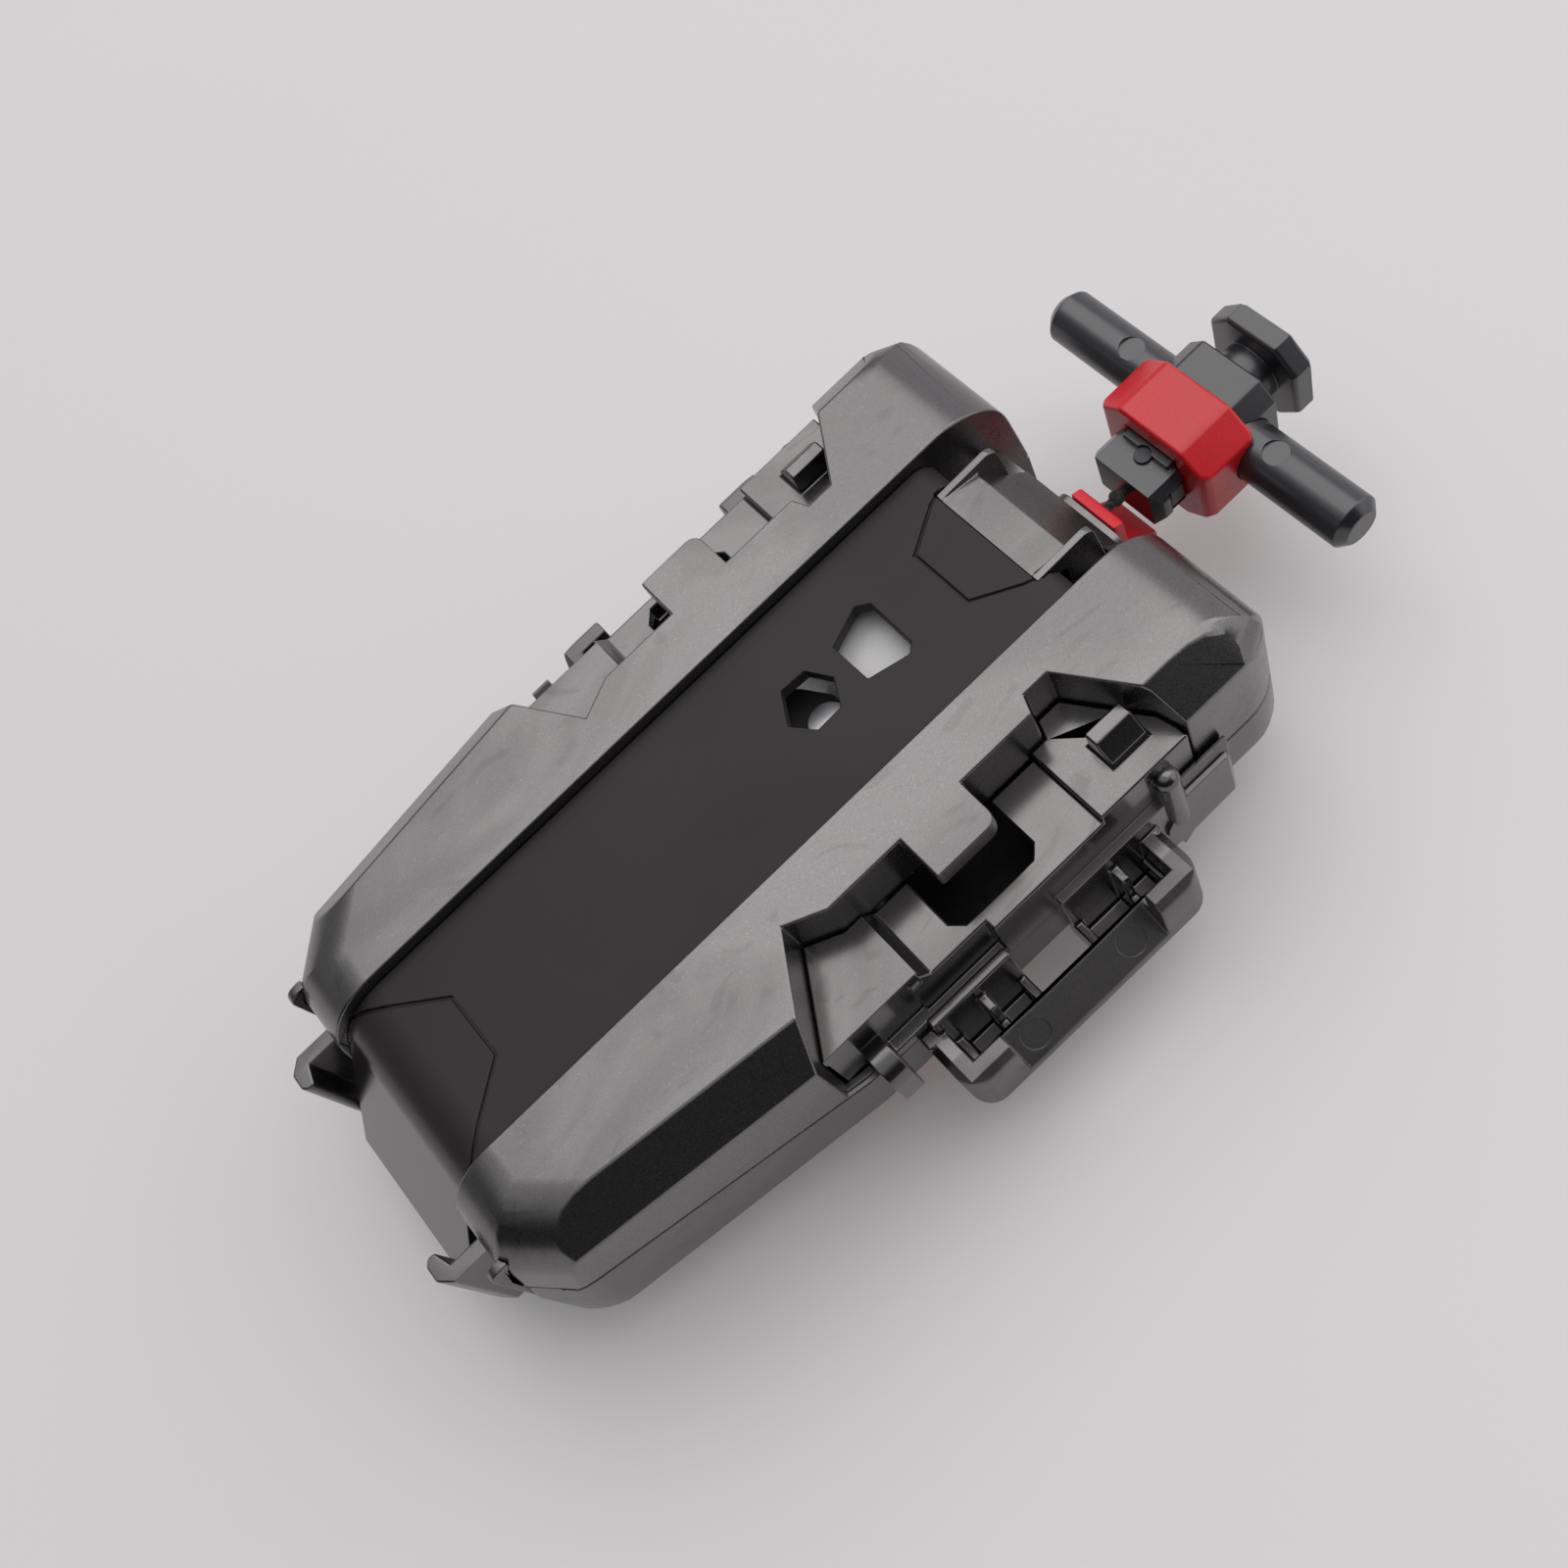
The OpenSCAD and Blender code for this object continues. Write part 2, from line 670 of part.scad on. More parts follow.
module centre_panel() {
    five_sides = [[24.5, 3.3], [29.6, 5.2], [31.1, 4.05], [31, -3.25], [29.9, -4.2], [24.6, -2.8]];
    six_sides = [[16.6, 3.8], [20.25, 3.6], [22, 0.45], [20.1, -3], [16.5, -3.1], [14.3, -0.1]];
    tongue_r = 3;
    color(black) difference() {
        union() {
            along_y(trough_w - 2 * panel_gap) panel_section(0);
            // Tongues beside the bridge, with their ends bent down
            both_sides() intersection() {
                along_y(trough_w - 2 * panel_gap) polygon(concat([[panel_end_x - over, panel_bottom],
                    [panel_end_x + tongue_r, panel_bottom]],
                    arc(panel_end_x, panel_top - tongue_r, tongue_r, 40, 90, 6),
                    [[panel_end_x - over, panel_top]]));
                box([0, fin_span / 2 + 0.2, 0], [big, big, big]);
            }
        }
        translate([0, 0, panel_bottom - over]) linear_extrude(panel_t + 2 * over) {
            polygon(reversed(five_sides));
            polygon(reversed(six_sides));
        }
        intersection() {
            linear_extrude(top_z) panel_marks();
            along_y(trough_w) polygon(concat(panel_line(-over, panel_end_x + 6),
                reversed(panel_line(engraving_d, panel_end_x + 6))));
        }
    }
}

// Gap all round the string where it passes through a wall
string_room = 0.4;

module far_bridge() {
    fin_half = fin_span / 2;
    half = trough_half - panel_gap;
    fin_top = top_z - 2;
    fin_x1 = panel_end_x + 9;
    base_z = seam_z + 3.6;
    // Clear of the spool, under and behind its cover
    clear_x = spool_x + flange_r + 0.5;
    clear_z = cover_top + 0.5;
    wall_x1 = bay_wall_x + bay_wall_t;
    wall_top = seam_z + 6.4;
    boss_x0 = bay_wall_x + 0.1;
    boss_y = boss_w / 2 - boss_round;
    boss_top = string_z + 1.7;
    color(pearl) difference() {
        union() {
            // Fins with rounded tops
            both_sides() translate([0, fin_half - fin_t / 2, 0]) along_y(fin_t) polygon(concat(
                [[panel_end_x + 0.1, clear_z], [clear_x, clear_z], [clear_x, base_z],
                [fin_x1 + 1, base_z]],
                arc(fin_x1 - 1.5, fin_top - 1.5, 1.5, 5, 90, 6), [[panel_end_x + 0.1, fin_top - 0.25]]));
            // Top plate and the sloping plate behind it
            along_y(fin_span) polygon([[panel_end_x + 0.1, fin_top - 2.2],
                [panel_end_x + 5.7, fin_top - 2.9], [panel_end_x + 5.7, fin_top - 1.35],
                [panel_end_x + 0.1, fin_top - 0.25]]);
            along_y(fin_span - 2 * fin_t + 0.2) polygon([[panel_end_x + 5.2, fin_top - 3.4],
                [panel_end_x + 5.2, fin_top - 1.75], [wall_x1 + 0.2, wall_top],
                [wall_x1 - 1.2, wall_top - 0.2]]);
            // Floor of the bay and the wall that stands on the lower shell
            box([clear_x, -half, base_z], [bay_wall_x + 0.3, half, base_z + 1.4]);
            box([bay_wall_x + 0.1, -half, inner_floor_z], [wall_x1, half, wall_top]);
            // Flat-topped boss for the string
            along_x(boss_x0, boss_end_x - boss_x0) polygon(concat(
                arc(boss_y, boss_top - boss_round, boss_round, 0, 90, 6),
                arc(-boss_y, boss_top - boss_round, boss_round, 90, 180, 6),
                [[-boss_w / 2, string_z - 5.4], [boss_w / 2, string_z - 5.4]]));
        }
        translate([bay_wall_x - over, 0, string_z]) rotate([0, 90, 0])
            cylinder(h = 9, r = string_d / 2 + string_room + 0.1);
    }
}

module string_guide() {
    x1 = boss_end_x + guide_t;
    color(red) difference() {
        // Plate with a sloping top, and the beak under the string
        along_y(guide_w) polygon([[boss_end_x, inner_floor_z], [x1, inner_floor_z],
            [x1, inner_floor_z + 0.5], [x1 + beak_reach, inner_floor_z + 1.2],
            [x1 + beak_reach, inner_floor_z + 4], [x1, string_z - 3.2],
            [x1, string_z + 1.6], [boss_end_x, string_z + 2.1]]);
        translate([boss_end_x - over, 0, string_z]) rotate([0, 90, 0])
            cylinder(h = 4, r = string_d / 2 + string_room);
    }
}

// Plan of one deck: the notch, shrunk by its gap, between two lengths and out to one width
module deck(x0, x1, y1, z_top) {
    translate([0, 0, z_top - deck_t]) linear_extrude(deck_t) intersection() {
        notch_area(notch_plain, -deck_gap);
        translate([x0, 0]) square([x1 - x0, y1]);
    }
}

// Block past the far end of a bracket: a low foot, a ridge along its top and a cut outer corner
module ridged_block() {
    x0 = bracket_x0 + bracket_len;
    x1 = x0 + 12;
    y_in = half_w + 0.05;
    y_out = half_w + 1.9;
    ridge_y = half_w + 0.7;
    ridge_z = seam_z + 3.8;
    intersection() {
        along_y(2 * big) polygon([[x0 + 2.7, floor_z + 1.4], [x0 + 4.5, floor_z + 3.1],
            [x1 - 0.5, floor_z + 3.5], [x1, floor_z + 7.5], [x1, ridge_z], [x0 + 4.6, ridge_z],
            [x0 + 4.6, seam_z + 1.4], [x0 + 1, seam_z - 3.5], [x0 + 0.8, seam_z - 4.7]]);
        along_x(x0, x1 - x0) polygon([[y_in, floor_z], [y_out, floor_z], [y_out, seam_z + 1.3],
            [y_out - 0.6, seam_z + 1.5], [ridge_y + 0.2, ridge_z], [ridge_y - 0.2, ridge_z],
            [y_in, ridge_z - 1.2]]);
        linear_extrude(top_z) polygon([[x0, y_in], [x1, y_in], [x1, y_out - 0.9], [x1 - 0.9, y_out],
            [x0, y_out]]);
    }
}

module side_frame() {
    y_near = half_w - 1.8;
    y_mid = half_w - 1.2;
    y_far = half_w - 0.4;
    x_step = 5.4;
    x_jog = 15;
    x_rim = 31.5;
    x_end = 44.6;
    pocket_top = top_z - pocket_drop;
    deck_top = top_z - deck_drop;
    plate_z0 = floor_z + bracket_up;
    plate_top = plate_z0 + bracket_t;
    y_in = half_w + 0.05;
    y_out = half_w + bracket_reach;
    x1 = bracket_x0 + bracket_len;
    window_x0 = 14.5;
    corner_len = 7;
    half_len = bracket_len / 2;
    pad_y = half_w + 2;
    tray_y = y_in + window_w + 0.2;
    tray_angle = atan((bracket_t - tray_edge_t) / (y_out - tray_y));
    post_r = 1.7;
    post_top = seam_z + 7.2;
    difference() {
        union() {
            // Decks: near pocket, middle, far pocket
            deck(-10, x_step, y_near, pocket_top);
            deck(x_step - 0.2, x_jog, y_mid, deck_top);
            deck(x_jog - 0.2, x_rim + 0.2, half_w + 0.2, deck_top);
            deck(x_rim, x_end, half_w + 0.2, pocket_top);
            // Sloped step from the near pocket to the middle deck, with its raised end
            intersection() {
                along_y(2 * big) polygon([[x_step - 0.3, deck_top - deck_t],
                    [x_step + 1.3, deck_top - 0.2], [x_step - 0.3, pocket_top]]);
                linear_extrude(top_z) intersection() {
                    notch_area(notch_plain, -deck_gap);
                    square([20, y_mid]);
                }
            }
            // Skirt under the decks' outer edges
            skirt(-8.6, x_step, y_near, pocket_top);
            skirt(x_step - wall, x_jog, y_mid, deck_top);
            skirt(x_jog - 0.2, x_rim + 0.2, half_w + 0.2, deck_top);
            skirt(x_rim, x_end, half_w + 0.2, pocket_top);
            // Ledge that lies on the lower shell's wall
            translate([0, 0, seam_z]) linear_extrude(1.6) intersection() {
                notch_area(notch_plain, -deck_gap);
                translate([-3, y_near - 1.6]) square([x_end + 3, 1.6 + 1.8]);
            }
            // Upright block in the far pocket, with a sloped outer face
            along_x(36.4, 5.4) polygon([[half_w - 6.9, pocket_top - 1], [half_w - 2.9, pocket_top - 1],
                [half_w - 2.9, pocket_top + 1], [half_w - 5, pocket_top + 3.6],
                [half_w - 6.9, pocket_top + 3.6]]);
            // Bracket: rounded plate
            translate([0, 0, plate_z0]) linear_extrude(bracket_t) bracket_plan();
            // Rib that joins the bracket to the skirt
            box([bracket_x0 + 2, y_in, plate_z0], [window_x0, y_in + 1.4, seam_z + 3]);
            box([window_x0 + window_len, y_in, plate_z0], [x1 + 3, y_in + 1.4, seam_z + 3]);
            // Raised corners
            translate([0, 0, plate_top - 0.5]) linear_extrude(seam_z - plate_top + 0.5) difference() {
                bracket_plan();
                translate([bracket_x0 + corner_t, 0])
                    square([bracket_len - 2 * corner_t, y_out - corner_t]);
                translate([bracket_x0 + corner_len, 0])
                    square([bracket_len - 2 * corner_len, y_out + over]);
            }
            // Small posts beside the wall
            for (x = [8.3, 29.2]) box([x, y_in, plate_z0], [x + 1.2, y_in + 3.6, seam_z]);
            // Ridged block and the round-topped post beside it
            ridged_block();
            rod(x1 + 3.2, half_w + 0.7, floor_z + 9, post_top, post_r);
            translate([x1 + 3.2, half_w + 0.7, post_top]) sphere(r = post_r);
            // Rounded ear by the near end
            translate([-5.2, half_w + 0.6, 0]) rotate([90, 0, 90]) linear_extrude(2.8) {
                translate([0, seam_z - 1]) circle(r = 3.2);
                translate([0, seam_z + 3.4]) circle(r = 3.2);
                translate([-3.2, seam_z - 1]) square([6.4, 4.4]);
            }
        }
        // Well in the middle deck, under the tab, with cut corners
        translate([0, 0, deck_top - deck_t - over]) linear_extrude(deck_t + 2 * over)
            polygon([[11.7, 18], [11.7, 28.2], [13.1, 29.6], [23.2, 29.6], [24.6, 28.2], [24.6, 18]]);
        // Window through the bracket, and the two sunk pockets beside it
        box([window_x0, y_in - over, plate_z0 - over],
            [window_x0 + window_len, y_in + window_w, plate_top + over]);
        for (x = [[4.4, 8.3], [9.5, 13.3], [23.6, 29.2], [30.4, 33.4]])
            box([x[0], y_in + 1.4, plate_z0 + 1], [x[1], y_in + 4.4, plate_top + over]);
        // The plate's top slopes down between the corners, from the window to its outer edge
        along_x(bracket_x0 + corner_len, bracket_len - 2 * corner_len) polygon([
            [tray_y, plate_top], [y_out, plate_z0 + tray_edge_t],
            [y_out + over, plate_z0 + tray_edge_t], [y_out + over, plate_top + over],
            [tray_y, plate_top + over]]);
        // Round marks of the mould's ejector pins
        for (x = [10.6, 26]) translate([x, (tray_y + y_out) / 2, (plate_top + plate_z0 + tray_edge_t) / 2])
            rotate([-tray_angle, 0, 0]) translate([0, 0, -0.15]) cylinder(h = over, r = 1.9);
        // Bevels round the top of the raised corners
        along_x(0, 2 * bracket_len) polygon([[y_out - corner_bevel, seam_z], [y_out, seam_z - corner_bevel],
            [y_out + over, seam_z - corner_bevel], [y_out + over, seam_z + over],
            [y_out - corner_bevel, seam_z + over]]);
        for (m = [0, 1]) translate([(bracket_x0 + x1) / 2, y_out + over, 0]) mirror([m, 0, 0])
            rotate([90, 0, 0]) linear_extrude(y_out - pad_y + over) polygon([
                [half_len - corner_bevel, seam_z], [half_len, seam_z - corner_bevel],
                [half_len + 0.4, seam_z - corner_bevel], [half_len + 0.4, seam_z + 0.4],
                [half_len - corner_bevel, seam_z + 0.4]]);
        // Nothing reaches into the shells' own walls
        difference() {
            box([-big, 0, 0], [big, half_w + 0.04, top_z]);
            above_seam();
        }
        difference() {
            box([-big, 0, 0], [big, half_w + 0.04, top_z + over]);
            linear_extrude(top_z + 2 * over) notch_area(notch_plain, -deck_gap);
        }
    }
}

module skirt(x0, x1, y1, z_top) {
    translate([0, 0, seam_z]) linear_extrude(z_top - seam_z) intersection() {
        notch_area(notch_plain, -deck_gap);
        translate([x0, y1 - wall]) square([x1 - x0, wall]);
    }
}

// Plan of a bracket, with two rounded outer corners
module bracket_plan() {
    x1 = bracket_x0 + bracket_len;
    y1 = half_w + bracket_reach;
    polygon(concat([[bracket_x0, half_w + 0.05], [x1, half_w + 0.05]],
        arc(x1 - bracket_r, y1 - bracket_r, bracket_r, 0, 90, 6),
        arc(bracket_x0 + bracket_r, y1 - bracket_r, bracket_r, 90, 180, 6)));
}

module side_frame_left() {
    color(gunmetal) side_frame();
}

module side_frame_right() {
    color(gunmetal) mirror([0, 1, 0]) side_frame();
}

module base_ring() {
    notches = 12;
    color(red) difference() {
        rod(0, 0, 0, floor_z, ring_r);
        rod(0, 0, -over, floor_z - 1.4, ring_r - ring_wall);
        rod(0, 0, -over, floor_z + over, ring_r - ring_wall - 2);
        for (i = [0:notches - 1]) rotate([0, 0, (i + 0.5) * 360 / notches])
            box([ring_r - 0.8, -1.5, 2], [ring_r + over, 1.5, floor_z - 1.6]);
    }
}

// Involute tooth form: half the tooth's angle at radius r, for a gear of n teeth
function involute_angle(a) = tan(a) * 180 / PI - a;
function half_tooth(n, r) = let (rb = gear_m * n / 2 * cos(pressure_angle))
    90 / n - backlash / (gear_m * n) * 180 / PI + involute_angle(pressure_angle)
    - (r > rb ? involute_angle(acos(rb / r)) : 0);
function gear_points(n) =
    let (rp = gear_m * n / 2, rb = rp * cos(pressure_angle), ra = rp + 0.8 * gear_m, rr = rp - gear_m,
        r0 = max(rb, rr), steps = 3, radii = [for (i = [0:steps]) r0 + (ra - r0) * i / steps])
    [for (t = [0:n - 1]) let (c = t * 360 / n) each concat(
        [let (a = c - half_tooth(n, r0)) rr * [cos(a), sin(a)]],
        [for (r = radii) let (a = c - half_tooth(n, r)) r * [cos(a), sin(a)]],
        [for (r = reversed(radii)) let (a = c + half_tooth(n, r)) r * [cos(a), sin(a)]],
        [let (a = c + half_tooth(n, r0)) rr * [cos(a), sin(a)]])];

module gear(x, z0, n, turn, bore, width = gear_w) {
    translate([x, 0, z0]) difference() {
        rotate([0, 0, turn]) linear_extrude(width) polygon(gear_points(n));
        translate([0, 0, -over]) cylinder(h = width + 2 * over, r = bore);
    }
}

spool_bore = spool_axle_r + run_fit;

module spool_gear() {
    color(offwhite) gear(spool_x, high_gear_z, spool_teeth, 180, core_r + seat_fit);
}

// Drum with its lower core in the gear, two flanges and the cup for the spring
module string_spool() {
    color(offwhite) difference() {
        union() {
            rod(spool_x, 0, high_gear_z, cup_z + 0.5, core_r);
            rod(spool_x, 0, spool_base_z, winding_z0, flange_r);
            rod(spool_x, 0, winding_z1, cup_z, flange_r);
            rod(spool_x, 0, winding_z1, cup_top, flange_r);
        }
        rod(spool_x, 0, cup_z, top_z, flange_r - cup_wall);
        rod(spool_x, 0, 0, top_z, spool_bore);
    }
}

module string_winding() {
    color(black) difference() {
        rod(spool_x, 0, winding_z0, winding_z1, winding_r);
        rod(spool_x, 0, 0, top_z, core_r + seat_fit);
    }
}

// Radial thickness of the packed turns of the spring
spring_turns_t = 2.8;

module spiral_spring() {
    color(steel) difference() {
        rod(spool_x, 0, cup_z, cup_top - 0.3, flange_r - cup_wall - seat_fit);
        rod(spool_x, 0, 0, top_z, flange_r - cup_wall - spring_turns_t);
    }
}

module spring_cover() {
    color(offwhite) difference() {
        union() {
            rod(spool_x, 0, cup_top, cover_top, flange_r);
            rod(spool_x, 0, cup_top - 0.3, cup_top + 0.2, flange_r - cup_wall - seat_fit);
        }
        rod(spool_x, 0, 0, top_z, spool_bore);
    }
}

module spool_shaft() {
    color(steel) rod(spool_x, 0, axle_foot_z, panel_bottom, spool_axle_r);
}

module idler_gear() {
    color(offwhite) gear(idler_x, low_gear_z, idler_teeth, 180, idler_axle_r + run_fit);
}

// Pinion and the sleeve that reaches the plate
module idler_pinion() {
    z0 = low_gear_z + gear_w;
    z1 = spool_base_z - 0.3;
    color(offwhite) {
        gear(idler_x, z0, pinion_teeth, 180 / pinion_teeth, idler_axle_r + run_fit, z1 - z0);
        difference() {
            rod(idler_x, 0, z1, plate_z - 0.3, idler_axle_r + 1.2);
            rod(idler_x, 0, 0, top_z, idler_axle_r + run_fit);
        }
    }
}

module idler_shaft() {
    color(steel) {
        rod(idler_x, 0, axle_foot_z, plate_z + plate_t, idler_axle_r);
        rod(idler_x, 0, plate_z + plate_t, plate_z + plate_t + 1.2, idler_axle_r + 1.2);
    }
}

bush_r = rotor_shaft_r + 2;
bush_flange_r = bush_r + 1.2;

module rotor_bush() {
    color(brass) difference() {
        union() {
            rod(rotor_x, 0, floor_z, inner_floor_z, bush_r);
            rod(rotor_x, 0, inner_floor_z, low_gear_z - 0.3, bush_flange_r);
        }
        rod(rotor_x, 0, 0, top_z, rotor_shaft_r + run_fit);
    }
}

module rotor_shaft() {
    color(steel) rod(rotor_x, 0, floor_z - 3.8, plate_z + plate_t + 2.4, rotor_shaft_r);
}

module rotor_pinion() {
    bore = rotor_shaft_r + seat_fit;
    color(offwhite) gear(rotor_x, low_gear_z, pinion_teeth, 180 / pinion_teeth, bore, gear_w + 0.6);
}

ratchet_r = 7.6;
ratchet_teeth = 12;
ratchet_z = low_gear_z + gear_w + 0.6;
ratchet_h = 3;

// Saw-toothed wheel of the one-way clutch
module ratchet_wheel() {
    step = 360 / ratchet_teeth;
    color(gunmetal) translate([rotor_x, 0, ratchet_z]) difference() {
        linear_extrude(ratchet_h) polygon([for (i = [0:ratchet_teeth - 1]) each [
            ratchet_r * [cos(i * step), sin(i * step)],
            (ratchet_r - 1.4) * [cos((i + 0.92) * step), sin((i + 0.92) * step)]]]);
        translate([0, 0, -over]) cylinder(h = ratchet_h + 2 * over, r = rotor_shaft_r + seat_fit);
    }
}

module clutch_spring() {
    color(steel) difference() {
        rod(rotor_x, 0, ratchet_z + ratchet_h, plate_z - 0.3, rotor_shaft_r + 1.4);
        rod(rotor_x, 0, 0, top_z, rotor_shaft_r + seat_fit);
    }
}

module shaft_clip() {
    z0 = plate_z + plate_t + 0.1;
    color(steel) difference() {
        rod(rotor_x, 0, z0, z0 + 0.8, rotor_shaft_r + 1.6);
        rod(rotor_x, 0, 0, top_z, rotor_shaft_r + seat_fit);
    }
}

hub_z = floor_z - 0.6;
hub_plate_t = 2.4;

module claw_hub() {
    claws = 3;
    claw_top = hub_z - hub_plate_t;
    claw_foot = claw_top - claw_h;
    a = claw_angle / 2;
    near = hub_r / 2;
    far = 2 * hub_r;
    color(gunmetal) difference() {
        union() {
            rod(0, 0, claw_top, hub_z, hub_r);
            rod(0, 0, claw_top - 1.4, claw_top + 0.2, rotor_shaft_r + 2.6);
            // Claws with inward lips
            intersection() {
                difference() {
                    rod(0, 0, claw_foot, claw_top + 0.2, hub_r);
                    rod(0, 0, claw_foot - over, claw_foot + 1.2, hub_r - claw_t - 1.4);
                    rod(0, 0, claw_foot + 1.2, claw_top + over, hub_r - claw_t);
                }
                for (i = [0:claws - 1]) rotate([0, 0, i * 360 / claws + 60]) linear_extrude(top_z)
                    polygon([near * [cos(a), -sin(a)], far * [cos(a), -sin(a)], far * [cos(a), sin(a)],
                        near * [cos(a), sin(a)]]);
            }
        }
        rod(0, 0, hub_z - 3.2, top_z, rotor_shaft_r + seat_fit);
    }
}

plate_y = half_w - plate_side;
plate_posts = [for (s = [-1, 1]) each [[-8, s * (plate_y - 8.5)], [7, s * (plate_y - 3.5)]]];
plate_screw_r = 0.9;

module gear_plate() {
    half = [[21.3, 3], [19.2, 6.5], [9.5, plate_y - 1], [4, plate_y], [-8, plate_y - 5.5], [-11, 8]];
    color(black) difference() {
        translate([0, 0, plate_z]) linear_extrude(plate_t) polygon(concat(half, mirror_y(half)));
        rod(rotor_x, 0, 0, top_z, rotor_shaft_r + run_fit);
        rod(idler_x, 0, 0, top_z, idler_axle_r + seat_fit);
        for (p = plate_posts) rod(p[0], p[1], 0, top_z, plate_screw_r + 0.2);
    }
}

module plate_screws() {
    color(steel) for (p = plate_posts) {
        rod(p[0], p[1], plate_z - 6, plate_z + plate_t, plate_screw_r);
        rod(p[0], p[1], plate_z + plate_t, plate_z + plate_t + 1.2, plate_screw_r + 0.9);
    }
}

// Screws with a cross recess in the head
module case_screws() {
    color(steel) at_screws() difference() {
        union() {
            translate([0, 0, screw_head_z]) cylinder(h = screw_head_h, r = screw_head_r);
            translate([0, 0, screw_head_z]) cylinder(h = screw_tip_z - screw_head_z, r = screw_r);
        }
        for (a = [0, 90]) rotate([0, 0, a])
            translate([-1.3, -0.35, screw_head_z - over]) cube([2.6, 0.7, over + 0.9]);
    }
}

// String from the drum to the eye of the guide, with a bend before the bridge's wall
module string_run() {
    r = string_d / 2;
    reach = winding_r + r + 0.35;
    bend_x = bay_wall_x - 1.2;
    d = bend_x - spool_x;
    a = acos(reach / d);
    color(black) {
        translate([spool_x, 0, string_z]) rotate([0, 0, a]) translate([reach, 0, 0])
            rotate([90, 0, 0]) cylinder(h = d * sin(a), r = r);
        translate([bend_x, 0, string_z]) sphere(r = r + 0.03);
        translate([bend_x, 0, string_z]) rotate([0, 90, 0])
            cylinder(h = boss_end_x + guide_t - 0.2 - bend_x, r = r);
    }
}

knot_r = 1.15;
knot_x = handle_x - 1.4;

module string_lead() {
    x0 = boss_end_x + guide_t + 0.1;
    color(black) translate([x0, 0, string_z]) rotate([0, 90, 0])
        cylinder(h = handle_x + 1.5 - x0, r = string_d / 2);
}

module string_knot() {
    color(black) difference() {
        translate([knot_x, 0, string_z]) sphere(r = knot_r);
        translate([knot_x - 3, 0, string_z]) rotate([0, 90, 0])
            cylinder(h = 6, r = string_d / 2 + seat_fit);
    }
}

bar_fit = 0.05;

module handle_core() {
    front = octagon(5.9, 3.3, 4.5, 1.6);
    rear = octagon(7, 5.6, 4.6, 3.2);
    end_flat = 3.8;
    end_bevel = 0.8;
    end = octagon(end_w / 2, end_w / 2, end_flat, end_flat);
    color(gunmetal) difference() {
        union() {
            // Front block, its front corners cut back
            intersection() {
                along_x(handle_x, front_len) translate([0, string_z]) polygon(front);
                linear_extrude(top_z) polygon([[handle_x, -4.6], [handle_x + 1.3, -5.9],
                    [collar_x + over, -5.9], [collar_x + over, 5.9], [handle_x + 1.3, 5.9],
                    [handle_x, 4.6]]);
            }
            // Tongue through the collar
            along_x(collar_x - over, collar_len + 2 * over) translate([0, string_z])
                square([2 * tongue_y, 2 * tongue_z], center = true);
            along_x(rear_x, rear_len) translate([0, string_z]) polygon(rear);
            translate([neck_x - over, 0, string_z]) rotate([0, 90, 0])
                cylinder(h = neck_len + 2 * over, r = neck_r);
            // End flange with bevelled rims
            difference() {
                along_x(end_x, end_t) translate([0, string_z]) polygon(end);
                for (i = [0:7]) {
                    facet = i % 2 == 0 ? end_w / 2 : (end_w / 2 + end_flat) / sqrt(2);
                    translate([0, 0, string_z]) rotate([45 * i, 0, 0]) {
                        translate([end_x1, 0, facet - end_bevel]) rotate([0, 45, 0])
                            translate([-over, -end_w, 0]) cube([2 * over, 2 * end_w, 3]);
                        translate([end_x, 0, facet - end_bevel / 2]) rotate([0, -45, 0])
                            translate([-over, -end_w, 0]) cube([2 * over, 2 * end_w, 3]);
                    }
                }
            }
        }
        translate([bar_x, 0, string_z]) rotate([90, 0, 0])
            cylinder(h = collar_w + 8, r = bar_r + bar_fit, center = true);
        // Hole for the string, and the recess for the clip in the right flank
        translate([handle_x - over, 0, string_z]) rotate([0, 90, 0])
            cylinder(h = 3, r = string_d / 2 + seat_fit);
        box([collar_x - 2.8, -7, string_z - 2.2], [collar_x, -4.3, string_z + 2]);
        rod(pin_x, 0, string_z + 1.2, top_z, pin_r + seat_fit);
    }
}

tongue_y = 3.8;
tongue_z = 4.2;
pin_r = 1.1;
pin_x = collar_x - 1.4;

module handle_collar() {
    half = collar_w / 2;
    edge = 0.8;
    corner = octagon(half, collar_h / 2, 5, 4.3);
    color(red) difference() {
        intersection() {
            along_x(collar_x, collar_len) translate([0, string_z]) polygon(corner);
            // Front and back rims bevelled
            linear_extrude(2 * top_z) polygon([[collar_x, edge - half], [collar_x + edge, -half],
                [rear_x - edge, -half], [rear_x, edge - half], [rear_x, half - edge],
                [rear_x - edge, half], [collar_x + edge, half], [collar_x, half - edge]]);
        }
        along_x(collar_x - over, collar_len + 2 * over) translate([0, string_z])
            square([2 * (tongue_y + seat_fit), 2 * (tongue_z + seat_fit)], center = true);
        translate([bar_x, 0, string_z]) rotate([90, 0, 0])
            cylinder(h = collar_w + over, r = bar_r + bar_fit, center = true);
    }
}

module grip_bar() {
    h = bar_len / 2;
    r0 = bar_r - bar_bevel;
    mark_r = 1.7;
    mark_d = 0.4;
    color(gunmetal) translate([bar_x, 0, string_z]) difference() {
        rotate([90, 0, 0]) rotate_extrude()
            polygon([[0, -h], [r0, -h], [bar_r, bar_bevel - h], [bar_r, h - bar_bevel], [r0, h], [0, h]]);
        for (s = [1, -1]) translate([0, s * (collar_w / 2 + 3), bar_r - mark_d])
            cylinder(h = 2, r = mark_r);
    }
}

module retaining_pin() {
    color(gunmetal) rod(pin_x, 0, string_z + 1.2, string_z + 3.7, pin_r);
}

